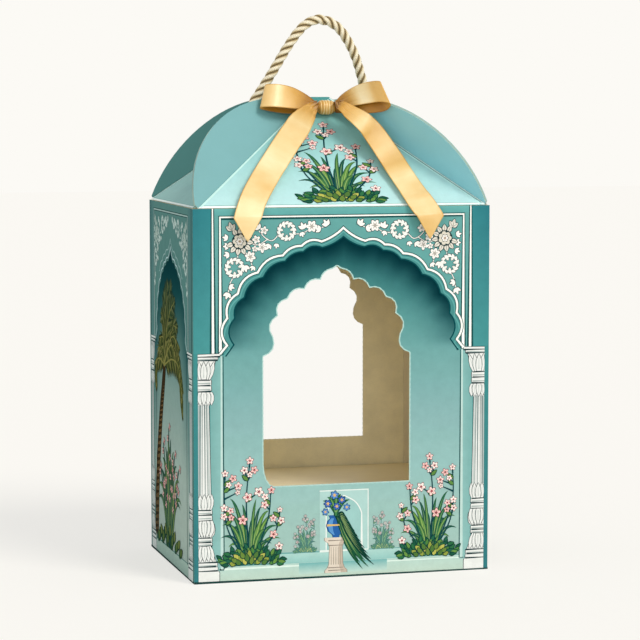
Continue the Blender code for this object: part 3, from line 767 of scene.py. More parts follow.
def petal(p, base, tip, half, level, cut, lean):
    """One carved petal with a dark rim; nothing of it passes the cut."""
    base, way = Vector(base), Vector(tip) - Vector(base)
    side = Vector((way.y, -way.x)).normalized() * half
    bend = Vector((lean, 0))
    outline = [base + way * t + side * s + bend * math.sin(math.pi * t) for t, s in PETAL_FORM]
    grown = []
    for t, s in PETAL_FORM:
        spot = base + way * (t * 1.05 - 0.02) + side * s
        spot += side.normalized() * math.copysign(0.28, s) * (s != 0)
        grown.append(spot + bend * math.sin(math.pi * t))
    p.rimmed(
        [(min(q.x, cut), q.y) for q in grown], STONE_LINE,
        [(min(q.x, cut - 0.01), q.y) for q in outline], STONE, level,
    )
    rib = [base + way * t + bend * math.sin(math.pi * t) for t in (0.1, 0.4, 0.72)]
    if max(q.x for q in rib) < cut - 0.3:
        p.line(rib, 0.22, STONE_SHADE, level + 2)


COLUMN_AXIS = 93.2
COLUMN_PROFILE = [
    (82.5, 149.6), (82.5, 147.9), (84.0, 147.7), (84.0, 145.6), (85.7, 145.2), (85.7, 144.3),
    (86.8, 139.6), (89.0, 133.2), (88.3, 132.6), (88.3, 129.6), (88.9, 129.2), (88.3, 128.6),
    (88.3, 125.8), (89.2, 125.2), (87.4, 123.4), (87.2, 119.4), (89.3, 117.2), (89.9, 116),
    (88.8, 58.5), (87.5, 55.4), (87.6, 51), (88.7, 48.4), (88.1, 47.8), (88.1, 45.4),
    (88.7, 44.8), (88.1, 44.2), (88.1, 41.6), (88.4, 41), (86.6, 38.6), (86.1, 35.6),
    (86.7, 32.2), (88.6, 30.0), (88.1, 29.4), (88.1, 27.6), (88.7, 27.2), (88.1, 26.6),
    (88.1, 24.8), (88.6, 24.4), (87.4, 19.4), (85.7, 14.6), (84.7, 13.9), (84.7, 11.4),
    (85.3, 11.0), (84.4, 10.4), (84.4, 8.4), (83.3, 7.2), (83.3, 1.0),
]
COLUMN_RINGS = (
    147.8, 145.5, 132.9, 129.3, 125.5, 48.2, 45.1, 41.3, 30.1, 27.2, 24.6, 13.9, 11.1, 8.3,
)
RING_SHADES = (131.2, 127.2, 46.7, 43.3, 28.6, 26.0, 146.7, 12.3)
# Each row of carved petals: the heights of base and tip, half the middle one's breadth, and the
# others' base, tip and half breadth across
COLUMN_PETALS = [
    (133.4, 144.9, 2.1, [
        (96.4, 99.2, 2.0), (90.2, 86.4, 1.7), (94.9, 96.3, 1.9), (91.7, 90.1, 1.9),
    ]),
    (124.9, 116.4, 1.8, [
        (97.2, 97.4, 1.9), (88.8, 88.2, 1.6), (95.6, 95.5, 1.8), (90.8, 90.6, 1.8),
    ]),
    (48.6, 58.6, 1.9, [
        (97.0, 97.8, 1.9), (89.6, 88.2, 1.6), (95.4, 95.8, 1.8), (91.1, 90.6, 1.8),
    ]),
    (41.2, 30.0, 1.7, [
        (96.2, 96.6, 2.3), (89.2, 89.3, 2.2), (95.0, 94.6, 2.0), (91.2, 91.6, 2.1),
    ]),
    (24.5, 14.0, 1.9, [
        (95.9, 98.6, 2.1), (90.6, 87.2, 1.9), (94.8, 96.1, 1.9), (91.8, 90.3, 1.9),
    ]),
]


def column(p, level, cut=97.1):
    """A half column of white stone on a lotus foot, cut off at its outer side."""
    grown = [(x - 0.42, z + (0.25 if k == 0 else 0)) for k, (x, z) in enumerate(COLUMN_PROFILE)]
    p.rimmed(
        grown + [(cut, 1.0), (cut, 149.8)], STONE_LINE,
        COLUMN_PROFILE + [(cut, 1.0), (cut, 149.4)], STONE, level,
    )
    p.patch([(90.2, 116.5), (91.4, 116.5), (90.6, 58), (89.2, 58)], "#bcc6c5", level + 2)
    p.patch([(95.0, 116.5), (cut, 116.5), (cut, 58), (95.4, 58)], "#aab8b8", level + 2)
    for top, foot, width in (
        (91.5, 90.8, 0.3), (92.7, 92.5, 0.45), (94.3, 94.6, 0.3), (95.6, 96.1, 0.45),
    ):
        p.line([(top, 117), (foot, 57)], width, "#6f8283", level + 3)
    for heights, inset, width, code, above in (
        (COLUMN_RINGS, 0, 0.55, STONE_LINE, 3), (RING_SHADES, 0.5, 0.5, STONE_SHADE, 2),
    ):
        for z in heights:
            near = min(COLUMN_PROFILE, key=lambda spot: abs(spot[1] - z))[0]
            p.line([(near + inset, z - inset), (cut, z - inset)], width, code, level + above)
    for base, tip, middle, petals in COLUMN_PETALS:
        for k, (a, b, half) in enumerate(petals + [(COLUMN_AXIS, COLUMN_AXIS, middle)]):
            if a < cut + 0.5:
                lean = (a - COLUMN_AXIS) * 0.12
                petal(p, (min(a, cut), base), (b, tip), half, level + 4 + 2 * k, cut, lean)


FLOWER_FORM = flat_line(
    [(0, 0), (0.50, 0.30), (0.84, 0.22), (1.0, 0), (0.84, -0.22), (0.50, -0.30)], 2, closed=True,
)
LEAF_FORM = flat_line(
    [(0, 0), (0.3, 0.5), (0.65, 0.42), (1, 0), (0.65, -0.42), (0.3, -0.5)], 3, closed=True,
)


def flower(
    p, place, radius, level, petals=5, turn=0.0, body="#f1efec", rim=STONE_LINE, heart="#a9a79f",
):
    """An open flower: pointed petals with a dark rim round a small heart."""
    for k in range(petals):
        angle = turn + 360 * k / petals
        grown = turned(FLOWER_FORM, place, angle, radius + 0.32)
        p.rimmed(grown, rim, turned(FLOWER_FORM, place, angle, radius * 0.95), body, level)
        rib = turned([(0.15, 0), (0.6, 0)], place, angle, radius)
        p.line(rib, lambda t: radius * 0.09 * (1.2 - t), heart, level + 2)
    p.dot(place, radius * 0.2, heart, level + 3, 8)


def leaf(p, place, angle, length, breadth, level, body, rim, vein=None):
    """A pointed leaf from its stalk at place."""
    grow = 0.85 * min(1.0, length / 4)
    grown = [(x * (length + grow) - grow / 2, y * (breadth + 1.3 * grow)) for x, y in LEAF_FORM]
    shape = [(x * length, y * breadth) for x, y in LEAF_FORM]
    p.rimmed(turned(grown, place, angle), rim, turned(shape, place, angle), body, level)
    if vein:
        midrib = turned([(0.08 * length, 0), (0.85 * length, 0)], place, angle)
        p.line(midrib, 0.22, vein, level + 2)


def wreath(p, place, radius, level):
    """A small garland bent to a ring: petals outside, pointed leaves turned in to the middle."""
    for k in range(14):
        angle = 360 / 14 * k
        spot = around(place, radius * 0.74, angle)
        leaf(p, spot, angle + 62, 3.1, 1.9, level, "#e9ece9", STONE_LINE)
    for k in range(7):
        angle = 360 / 7 * k + 12
        spot, size = around(place, radius * 0.80, angle), (radius * 0.42, radius * 0.30)
        leaf(p, spot, angle + 180, *size, level + 2, "#e3e6e1", STONE_LINE)
    p.line(ring(place, radius * 0.80, 24), 0.9, "#eef0ec", level + 4, closed=True)


def garland_bud(p, place, angle, size, level):
    """A split bud on the vine: three pointed petals."""
    for k, length in ((-1, 1.2), (0, 1.4), (1, 1.2)):
        leaf(p, place, angle + 42 * k, size * length, size * 0.62, level, "#f1f2ee", STONE_LINE)


GARLAND_VINES = [
    [(9.0, 232.6), (14.5, 230.0), (21.3, 229.6), (27, 226.6), (32.6, 226.0)],
    [(43.6, 225.6), (47.5, 222.0), (52.0, 223.6), (56.5, 228.4)],
    [(50.5, 223.0), (57.0, 219.4), (62.5, 220.8)],
    [(70.5, 214.2), (70.5, 211.4)],
    [(73.6, 198.8), (75.8, 194.2), (76.8, 188.4)],
    [(67.0, 215.4), (63.6, 212.8), (61.0, 206.0)],
]
# Flowers by place, size, turn and petals; buds by place, angle and size
GARLAND_FLOWERS = [
    ((21.3, 230.8), 4.2, 0, 6), ((53.0, 228.6), 2.9, 30, 5), ((58.2, 222.8), 3.0, 0, 5),
    ((62.2, 211.8), 3.9, 15, 6), ((54.4, 217.6), 3.7, 50, 5), ((59.2, 216.9), 2.2, 20, 5),
]
GARLAND_BUDS = [
    ((10.6, 231.2), 55, 3.4), ((15.4, 228.4), 20, 2.9), ((26.8, 229.2), 70, 3.3),
    ((28.2, 227.0), 250, 2.4), ((49.4, 219.6), 300, 2.8), ((56.6, 229.4), 60, 3.2),
    ((65.6, 206.2), 260, 3.2), ((60.0, 205.6), 300, 2.4), ((76.2, 193.0), 200, 2.8),
    ((76.9, 188.8), 290, 3.2), ((44.6, 219.9), 280, 2.3),
]
ROSETTE = (69.2, 221.8)
WREATHS = [((38.1, 228.0), 6.0), ((72.6, 204.8), 6.3)]


def spandrel_garland(p, level):
    """The corner ornament: a vine from the arch's point, a bouquet, and a drop down the side."""
    for points in GARLAND_VINES:
        p.rimmed_line(flat_line(points), 1.15, STONE_LINE, 0.6, "#e9ece8", level)
    for place, size, turn, petals in GARLAND_FLOWERS:
        flower(p, place, size, level + 2, petals, turn)
    for place, angle, size in GARLAND_BUDS:
        garland_bud(p, place, angle, size, level + 2)
    for k in range(10):
        angle = 62 + 31 * k
        spot, over = around(ROSETTE, 4.6, angle), level + 2 + 2 * (k % 2)
        leaf(p, spot, angle, 4.4, 2.9, over, "#dcdad0", STONE_LINE, "#8b8a80")
    p.dot(ROSETTE, 5.2, STONE_LINE, level + 6, 18)
    for k in range(7):
        p.dot(around(ROSETTE, 3.1, 51 * k), 1.55, "#d6d3c6", level + 7, 8)
    flower(p, ROSETTE, 2.5, level + 8, petals=6, heart="#a08a70")
    for k in range(3):
        size = (5.4 - abs(k - 1), 2.6)
        leaf(p, (74.4, 229.0), 32 + 42 * k, *size, level + 2, "#d9d8cf", STONE_LINE, "#8b8a80")
        garland_bud(p, (77.0 - k * 0.4, 224.0 - 5.2 * k), 10 - 12 * k, 2.7, level + 2)
    for place, radius in WREATHS:
        wreath(p, place, radius, level + 3)


STEM, BLADE_RIM, BLOSSOM_RIM = "#16444a", "#123c36", "#7f4952"
BLADES = ("#2f6a48", "#4a7c45", "#27594a", "#5b8a45")
BLOSSOMS = (
    ("#f7d9d4", "#9a3d48"), ("#fbeae4", "#8a3a44"), ("#f3c6c1", "#7e2c38"), ("#fcf1ea", "#b0606a"),
)


def curve_between(foot, tip, bow):
    """A stem or blade that starts steeply and bows sideways to its tip."""
    foot, tip = Vector(foot), Vector(tip)
    side = Vector((tip.y - foot.y, foot.x - tip.x)).normalized() * bow
    return flat_line([foot, foot.lerp(tip, 0.33) + side * 0.8, foot.lerp(tip, 0.68) + side, tip])


def blade(p, foot, tip, rise, breadth, level, code):
    """A strap leaf: up, over in an arc that rise heightens, and down to a sharp tip."""
    foot, tip = Vector(foot), Vector(tip)
    reach, climb = tip.x - foot.x, tip.y - foot.y
    crest = Vector((foot.x + reach * 0.34, foot.y + climb * 0.86 + rise))
    spine = [foot.lerp(crest, t).lerp(crest.lerp(tip, t), t) for t in (k / 11 for k in range(12))]

    def form(t):
        """The share of its full breadth that the blade has at a share of its length."""
        return min(1.0, 0.35 + 2.2 * t) * (1 - t ** 2.2)

    p.rimmed_line(
        spine, lambda t: breadth * form(t) + 0.7 * (1 - t ** 5), BLADE_RIM,
        lambda t: breadth * form(t), code, level,
    )
    p.line(spine[1:-3], lambda t: breadth * 0.26 * form(t), mixed(code, "#c9d482", 0.5), level + 2)


# Of the garden plant: stems as tip and bow, with blossoms as place and size; then strap leaves
# as tip, rise and breadth; then the mound's rows as count, half width, height, length of leaf
GARDEN_STEMS = [
    ((0.5, 65), -2, [
        (0.5, 66.5, 2.5), (-3.0, 60.5, 2.5), (3.4, 60.5, 2.5), (0.5, 57.6, 1.9),
        (-1.0, 43.3, 3.1), (6.3, 46.5, 3.1), (-4.2, 28.8, 3.2),
    ]),
    ((-15.5, 57.5), -5, [
        (-15.5, 58.8, 2.2), (-10.4, 55.6, 2.5), (-13.2, 51.6, 2.0), (-7.0, 50.6, 2.6),
        (-7.4, 46.6, 1.7),
    ]),
    ((14, 46.5), 3, [(14.4, 47.2, 2.4), (10.3, 43.2, 2.4), (10.0, 38.0, 2.6)]),
    ((-16, 36), -3, [
        (-16.2, 37.0, 2.4), (-12.0, 35.2, 2.2), (-16.4, 31.6, 2.3), (-11.6, 30.6, 2.1),
    ]),
    ((20, 34), 4, [(15.6, 29.2, 2.3), (20.8, 27.6, 2.4), (15.8, 19.0, 2.7), (20, 34.6, 1.8)]),
    ((18.6, 10.4), 2, [(19.4, 11.2, 2.6)]),
]
GARDEN_BLADES = [
    (-12.5, 43, 2, 2.4), (-17.5, 26, 8, 2.3), (-18.5, 18, 8, 2.2), (-9, 34, 4, 2.4),
    (-4.5, 39, 1, 2.0), (4.6, 42, 0, 1.9), (8, 37, 3, 2.1), (13, 34, 5, 2.5),
    (18.5, 24, 7, 2.4), (20.5, 16, 7, 2.2), (14.5, 13, 8, 2.4), (-13.5, 12, 9, 2.4),
    (-7, 22, 5, 2.4), (7.5, 25, 5, 2.4), (1.5, 29, 1, 2.2), (17.5, 31, 7, 2.3),
    (-14, 33, 6, 2.3), (12, 21, 8, 2.3), (-11, 24, 8, 2.2),
]
MOUND_ROWS = [(21, 19, 9.0, 4.4), (19, 15, 6.0, 4.6), (17, 18, 3.2, 4.4), (15, 17, 0.6, 4.2)]
MOUND_LEAVES = ("#1f5440", "#2f6b45", "#4b7f3f", "#27604a", "#638d44")
FRONT_LEAVES = ("#8d9a44", "#66833c", "#b3b458", "#4e7439")


def garden_plant(p, foot, hand, level, size=1.0):
    """A flowering plant on a mound of small leaves; hand mirrors it."""
    def at(dx, dz):
        """The place that far aside from the foot and above it."""
        return foot[0] + hand * dx * size, foot[1] + dz * size

    for k, (dx, dz, rise, wide) in enumerate(GARDEN_BLADES):
        over = level + 3 * (k % 3)
        blade(p, at(dx * 0.16, 1), at(dx, dz), rise * size, wide * size, over, BLADES[k % 4])
    for n, (tip, bow, blossoms) in enumerate(GARDEN_STEMS):
        stem = curve_between(at(tip[0] * 0.08, 2), at(*tip), hand * bow * size)
        p.line(stem, lambda t: (1.15 - 0.5 * t) * size, STEM, level + 9)
        for k, (dx, dz, big) in enumerate(blossoms):
            spot = at(dx, dz)
            low = ([q for q in stem if q[1] < spot[1] - 2.5 * size] or stem[:1])[-1]
            p.line([low, spot], 0.6 * size, STEM, level + 9)
            body, heart = BLOSSOMS[(k + n) % 4]
            flower(p, spot, big * size, level + 14, 5, 90 + 23 * k, body, BLOSSOM_RIM, heart)
            if k % 2 and (n, k) != (0, 3):
                angle = 90 - hand * (48 if dx > tip[0] else -48)
                leaf(p, low, angle, 4.8 * size, 2.0 * size, level + 10, "#5d8745", BLADE_RIM)
    for row, (count, wide, high, long) in enumerate(MOUND_ROWS):
        for k in range(count):
            turn = 2 * k / (count - 1) - 1
            lift = high * (1 - 0.55 * abs(turn) ** 1.5 + 0.18 * math.sin(5 * k + row))
            angle = 90 - hand * (turn * 72 + 26 * (-1) ** k)
            over, code = level + 12 + 2 * (k % 2) + row, MOUND_LEAVES[(2 * k + row) % 5]
            spot = at(turn * wide + 1, lift)
            leaf(p, spot, angle, long * size, 1.9 * size, over, code, BLADE_RIM)
    for k in range(17):
        turn = (k - 8) / 8
        spot, angle = at(turn * 9.5, 0.4 + (k % 3) * 2.0), 90 - hand * turn * 64
        length, breadth = (5.2 - abs(turn) * 1.6) * size, 2.6 * size
        over, code = level + 18 + 2 * (k % 2), FRONT_LEAVES[k % 4]
        leaf(p, spot, angle, length, breadth, over, code, BLADE_RIM)


def turned_form(x, half, right=1.0, left=-1.0, grow=0.0):
    """A turned form about x, between two shares of its half width; half is its right outline."""
    near = [(x + a * right + grow, z) for a, z in half]
    return near + [(x + a * left - grow, z) for a, z in half[::-1]]


NICHE_FRAME = [(-16, 17.6), (17, 17.6), (17, 57.5), (-16, 57.5)]
NICHE_ARCH = [(12.6, 42), (11.0, 45.8), (8.4, 49.4), (5.0, 51.8), (0.5, 54.0)]
URN_AXIS = -5.0
STAND_HALF = [
    (7.4, 3.0), (7.4, 4.6), (5.6, 6.4), (4.6, 9.0), (4.2, 20.5), (5.0, 22.6), (7.6, 24.6),
    (7.6, 26.4),
]
URN_HALF = [
    (1.9, 26.4), (2.3, 28.2), (5.2, 30.6), (6.4, 34.2), (5.6, 37.4), (3.7, 39.2), (4.9, 41.2),
]
URN_FLOWERS = [
    (-5.5, 49, 2.7), (-1, 54.5, 2.9), (4, 51.2, 2.6), (-7.2, 43.6, 2.3), (0.6, 47, 2.6),
    (7.4, 46.2, 2.3),
]
URN_LEAVES, URN_CROWN, URN_BLOSSOMS = (
    ("#1d5238", "#2a6240", "#153f33"), ("#2f6b41", "#3d7a4a"), ("#2f62b0", "#4a86c8"),
)


def urn_picture(p, level):
    """A small picture under the window: an arched niche, a stone stand, an urn of leaves."""
    p.fade((-47, 10.6), (42, 17.5), ("#8fc0bd", "#a9d0cb"), level)
    p.line([(-46, 17.5), (41, 17.5)], 0.5, "#6ea5a4", level + 1)
    p.fade((-30, 3.2), (30, 10.4), ("#b7d3cc", "#6fadae"), level + 1)
    p.patch(NICHE_FRAME, "#a9cdca", level + 2)
    p.line(NICHE_FRAME, 0.7, "#dfe9e6", level + 3)
    arch = [(12.6, 18.4), NICHE_ARCH[0]] + flat_line(NICHE_ARCH, 3)[1:]
    niche = arch + [(1 - x, z) for x, z in arch[::-1]][1:]
    p.patch(niche, "#98c4c2", level + 4)
    p.line(niche, 0.75, "#e6ecea", level + 5)
    for side in (-1, 1):
        p.where(haze=0.42)
        garden_plant(p, (0.5 + side * 26.0, 17.6), side, level + 2, size=0.36)
        p.where()
    x = URN_AXIS
    stand, grown = turned_form(x, STAND_HALF), turned_form(x, STAND_HALF, grow=0.4)
    p.rimmed(grown, "#8b8177", stand, "#d8cdc0", level + 5)
    p.patch(turned_form(x, STAND_HALF, left=0.45), "#bdb0a1", level + 7)
    for z in (4.6, 6.4, 21.2, 24.4):
        p.line([(x - 5.2, z), (x + 5.2, z)], 0.35, "#8b8177", level + 8)
    for k in range(5):
        flute = x - 3.2 + 1.6 * k
        p.line([(flute, 8.4), (flute, 20)], 0.3, "#a59a8c", level + 8)
    urn, grown = turned_form(x, URN_HALF), turned_form(x, URN_HALF, grow=0.35)
    p.rimmed(grown, "#142c4e", urn, "#2a5fa3", level + 6)
    p.patch(turned_form(x, URN_HALF[1:-1], -0.85, -0.35), "#5a92c9", level + 8)
    p.line([(x - 6.0, 34.6), (x + 6.0, 34.6)], 0.7, "#d9b56a", level + 9)
    for k in range(30):
        row, lean = k // 3, (k % 3) - 1
        share = row / 9
        tip = (
            x + 5 + 17.5 * share + lean * (1.5 + 2.4 * share),
            38 - 32.5 * share ** 1.1 + lean * 1.2,
        )
        over = level + 6 + 3 * (k % 3) + (9 - row) // 3
        blade(p, (x + 1.5 + lean, 41), tip, 4.5 + 3.5 * share, 2.6, over, URN_LEAVES[k % 3])
    for k in range(7):
        tip = (x - 9 + 3.1 * k, 51 + 4.5 * math.sin(k / 6 * math.pi))
        blade(p, (x, 41), tip, 1.5, 2.2, level + 12 + 3 * (k % 2), URN_CROWN[k % 2])
    for k, (dx, z, size) in enumerate(URN_FLOWERS):
        body, over = URN_BLOSSOMS[k % 2], level + 20
        flower(p, (x + dx, z), size, over, 6, 17 * k, body, "#132a52", "#e2b46a")


def surround(p, half, foot, top, inner, code, level):
    """Fill the wall beside and above an arch, half to each side and from foot to top."""
    p.patch([(half, foot), (half, top), (-half, top), (-half, foot)] + inner, code, level)


def front_print(p):
    """All the ink of a long wall, over its base coat."""
    whole, outer = both_sides(arch_inner), both_sides(arch_outer)
    inner = whole[::-1]
    surround(p, 88.2, 147.8, 243, inner, DARK_LINE, 1)
    surround(p, 87.4, 148.4, 242.9, [(x * 1.006, z + 0.8) for x, z in inner], SPANDREL, 2)
    p.patch(outer + inner, "#478a8a", 3)
    p.line([(x * 0.978, z - 2.4) for x, z in outer], 0.8, "#5fa5a3", 4)
    p.line(whole, 0.9, "#0c464c", 5)
    p.rimmed_line(outer, 2.35, DARK_LINE, 1.35, WHITE_LINE, 6)
    p.fade((-86, 238.6), (86, 243), ("#5fa3a3", "#69adab"), 3)
    p.line([(-81.4, 236.2), (81.4, 236.2)], 0.6, DARK_LINE, 4)
    for side in (-1, 1):
        p.where(flip=side)
        p.fade((86.4, 1), (100, 150), ("#34757c", "#40898a"), 3)
        p.fade((86.4, 150), (100, 243), ("#4a9294", "#469092", "#2f7781", "#36828a"), 3)
        p.fade((80.2, 8), (89, 148.4), ("#8fbcba", "#7db0ae", "#6fa4a3", "#83b5b3"), 4)
        p.rimmed_line([(87.0, 149), (87.0, 243)], 2.2, DARK_LINE, 0.85, WHITE_LINE, 4)
        top_frame = [(82.1, 149), (82.1, 237.4), (0, 237.4)]
        p.rimmed_line(top_frame, 2.0, DARK_LINE, 0.95, WHITE_LINE, 4)
        p.line([(80.4, 9), (80.4, 148)], 0.6, DARK_LINE, 5)
        p.line([(81.5, 9), (81.5, 148)], 1.0, "#b9d6d2", 5)
        column(p, 6)
        spandrel_garland(p, 5)
    p.where(flip=1)
    p.fade((-83.2, 0.2), (83.2, 11), ("#b9cfc3", "#b2d0c9"), 3)
    p.line([(-83.2, 11), (83.2, 11)], 0.5, "#4f8f8c", 4)
    p.line([(-83.2, 8.9), (83.2, 8.9)], 0.6, "#d9ebe4", 4)
    p.line([(-100, 0.6), (100, 0.6)], 0.8, "#23413f", 20)
    garden_plant(p, (-63.4, 11), 1, 5, size=1.03)
    garden_plant(p, (59.7, 11), -1, 5)
    urn_picture(p, 5)


def painted_cut_highlight(p, bm, measure):
    """A pale painted highlight line on the print beside a die-cut opening's edge, standing in for the light
    that the board's core catches at the cut.
    """
    spots = {v: Vector(measure(v.co)) for v in bm.verts}
    low = [min(s[k] for s in spots.values()) + 3 for k in (0, 1)]
    high = [max(s[k] for s in spots.values()) - 3 for k in (0, 1)]
    for edge in bm.edges:
        a, b = (spots[v] for v in edge.verts)
        if edge.is_boundary and all(low[k] < q[k] < high[k] for q in (a, b) for k in (0, 1)):
            aside = Vector(measure(edge.link_faces[0].calc_center_median())) - a
            way = (b - a).normalized()
            aside = (aside - way * aside.dot(way)).normalized() * 0.34
            p.line([a + aside - way * 0.1, b + aside + way * 0.1], 0.5, "#a9cfcb", 2)


def printed_board(node_name, body, corner, run, outward, tone, draw, gap, foot=None):
    """A board's whole print: its base coat on the die-cut outline, and the drawing over it.

    Measures count from the corner, along run and up the board; below foot it stays bare.
    """
    rise = outward.cross(run)

    def place(u, v, level):
        """Where a place of the board lies in the room, on a level of ink."""
        return corner + run * (u * MM) + rise * (v * MM) + outward * (INK_LIFT * (level + 1))

    def measure(co):
        """How far along the board and up it a point of the room lies."""
        return (co - corner).dot(run) / MM, (co - corner).dot(rise) / MM

    p = Print(place)
    draw(p)
    skin = wall_skin(node_name, outward, gap, foot and (place(0, foot, 0), rise))
    painted_cut_highlight(p, skin, measure)
    base_coat(p, skin, measure, tone)
    return p.finish(node_name + "_print", body, outward)


# The side walls' print: a tall narrow arch, a palm and a bed of flowers, greyer than the front
SIDE_SPANDREL, SIDE_LINE, SIDE_DARK = "#5b8986", "#9fbdbb", "#123c3d"
SIDE_CUSPS = [
    (0, 214.5), (8.0, 206.6), (16.4, 203.4), (25.2, 198.6), (33.6, 191.4), (40.4, 182.0),
    (44.6, 170.6), (46.0, 157.0), (50.6, 150.2),
]
SIDE_BULGES = [-0.06, 0.16, 0.15, 0.16, 0.17, 0.18, 0.18, 0.0]
SIDE_TONES = [
    (0, "#a3bab3"), (25, "#acc1b9"), (70, "#a4bcb5"), (120, "#86a6a1"), (150, "#5a827f"),
    (185, "#194a4d"), (215, "#063036"),
]
SIDE_SHADE = "#0f4247"
side_arch = arch_line(SIDE_CUSPS, SIDE_BULGES)
side_inner = [(x * 0.955, z - 3.2) for x, z in side_arch]

PALM_TRUNK = [(-51, 12), (-46, 52), (-36, 92), (-26, 119), (-21.5, 132)]
PALM_CROWN = (-21.5, 133)
PALM_GREENS, PALM_SHADE = ("#3f4c2a", "#5f6538", "#2a3622", "#77794a", "#4c5830"), "#1d4446"
# Fronds as tip, bow and share of the full leaflets
PALM_FRONDS = [
    ((2, 190), 4, 1.0), ((-9, 190), 2, 1.0), ((-20, 184), -4, 1.0), ((13, 179), 8, 1.0),
    ((-31, 168), -8, 0.95), ((21, 162), 11, 1.0), ((10, 160), 5, 0.9), ((20, 137), 13, 0.8),
    ((-31, 134), -10, 0.8), ((31, 124), 18, 0.8), ((-38, 150), -10, 0.8), ((27, 149), 12, 0.9),
    ((-44, 130), -12, 0.8), ((38, 122), 19, 0.8), ((-49, 114), -14, 0.8), ((37, 105), 22, 0.9),
]
LEAFLET_GAP = 1.7


def palm(p, level):
    """A date palm: a ringed leaning trunk, and a tall tuft of feathery fronds."""
    trunk = flat_line(PALM_TRUNK, 9)
    p.rimmed_line(
        trunk, lambda t: 13.6 - 4.6 * t, "#231f18", lambda t: 10.6 - 3.4 * t, "#6a583c", level,
    )
    for x, z in trunk[1:-1]:
        p.line([(x - 4.6, z - 0.9), (x + 4.4, z + 0.9)], 1.4, "#3a3020", level + 2)
    for k, (tip, bow, full) in enumerate(PALM_FRONDS):
        curve = [Vector((*q, 0)) for q in curve_between(PALM_CROWN, tip, -bow)]
        spine = [spot.to_2d() for _, spot in even_line(curve, LEAFLET_GAP)]
        droop = Vector((0, -0.2 if tip[1] > 150 else -0.7))
        over = level + 3 + 2 * (k % 4)
        for i in range(3, len(spine)):
            share, here = i / (len(spine) - 1), spine[i]
            ahead = (here - spine[i - 1]).normalized()
            length = (17 - 9 * abs(share - 0.45)) * full * min(1, (1.1 - share) * 3)
            for side in (-1, 1):
                across = Vector((ahead.y, -ahead.x)) * side
                end = here + (across * 0.6 + ahead * 0.8 + droop).normalized() * length
                green = PALM_GREENS[(2 * i + 3 * k + side) % 5]
                code = mixed(green, PALM_SHADE, clamped((here.y - 150) / 80, 0, 0.5))
                leaflet = [here, here.lerp(end, 0.5) + across * 0.8, end]
                p.line(leaflet, lambda t: 1.9 * (1.04 - t), code, over + i % 2)
        p.line(spine, lambda t: 1.4 - 0.9 * t, "#85854c", over + 2)


REEDS = ("#3c6650", "#54794c", "#2c5648", "#6d8a52")
BED_GREENS = ("#345a3c", "#5b7442", "#284c3a", "#6f8048")
BED_STEMS = ((-2, 82), (-20, 70), (17, 66), (-31, 52), (31, 58), (8, 54), (26, 42), (-14, 44))
BED_BLOSSOMS = ("#e3b3ae", "#ecc9c2")


def side_bed(p, foot, level):
    """A tall clump of reed leaves with dusty pink flower stems."""
    x0, z0 = foot
    for k in range(26):
        turn = (k - 12.5) / 12.5
        tip = (x0 + turn * 38, z0 + (64 - 36 * abs(turn) ** 1.2 + 7 * (k % 3)))
        rise, over = 4 + 14 * abs(turn), level + 3 * (k % 3)
        blade(p, (x0 + turn * 7, z0), tip, rise, 4.4, over, REEDS[k % 4])
    for dx, dz in BED_STEMS:
        stem = curve_between((x0 + dx * 0.1, z0), (x0 + dx, z0 + dz), dx * -0.1)
        p.line(stem, 1.5, "#274e4a", level + 9)
        for i in range(4):
            spot = Vector(stem[-1 - i * 2]) + Vector(((-1) ** i * 3.4, 0.8))
            turn, body = 30 * i + 20, BED_BLOSSOMS[i % 2]
            flower(p, tuple(spot), 2.7, level + 11, 4, turn, body, "#6f4c52", "#9a5058")
    for k in range(22):
        turn = (k - 10.5) / 10.5
        spot = (x0 + turn * 34, z0 + (k % 4) * 3 * (1 - 0.5 * abs(turn)))
        over = level + 16 + 2 * (k % 2)
        leaf(p, spot, 90 - turn * 62, 8, 5, over, BED_GREENS[k % 4], BLADE_RIM)


def side_print(p):
    """All the ink of a short wall, over its base coat."""
    inner, outer = both_sides(side_inner)[::-1], both_sides(side_arch)
    surround(p, 55, 148, 243, inner, SIDE_DARK, 1)
    surround(p, 54.6, 148.4, 242.9, [(x * 1.008, z + 0.9) for x, z in inner], SIDE_SPANDREL, 2)
    p.rimmed_line(outer, 2.2, SIDE_DARK, 1.3, "#a9cdd0", 4)
    p.line([(x * 1.06, z + 5.2) for x, z in outer if z > 190], 0.7, "#9cc0c0", 5)
    p.fade((-56, 238.4), (56, 243), (SIDE_SPANDREL, SIDE_SPANDREL), 3)
    for side in (-1, 1):
        p.where(flip=side)
        p.fade((54.6, 1), (70, 150), ("#5b8985", "#54807d", "#54807d", "#5b8985"), 3)
        p.fade((54.6, 148), (70, 243), ("#5f8b8c", "#578481", "#4e7a7b", "#598686"), 3)
        top_frame = [(54.6, 149), (54.6, 237.4), (0, 237.4)]
        p.rimmed_line(top_frame, 1.9, SIDE_DARK, 1.0, SIDE_LINE, 4)
        p.line([(65.6, 149), (65.6, 243)], 0.6, SIDE_DARK, 5)
        p.line([(49.6, 9), (49.6, 149)], 0.6, SIDE_DARK, 5)
        p.where(shift=-31.0, haze=0.15)
        column(p, 6, cut=97.4)
        p.where(scale=0.68, shift=-0.6, haze=0.55)
        spandrel_garland(p, 5)
    p.where(flip=1)
    p.fade((-51.6, 0.2), (51.6, 10), ("#9ebcb3", "#abc8be"), 3)
    p.line([(-51.6, 10), (51.6, 10)], 0.5, "#4f7f7c", 4)
    p.line([(-70, 0.6), (70, 0.6)], 0.8, "#23413f", 20)
    palm(p, 3)
    side_bed(p, (-6.4, 10), 12)


def side_tone(x, z):
    """The side panel's ink, deep under the arch and towards its upper corners."""
    corner = clamped((abs(x) - 30) / 20) * clamped((z - 60) / 90)
    return mixed(tone_at(SIDE_TONES, z), SIDE_SHADE, 0.5 * corner)


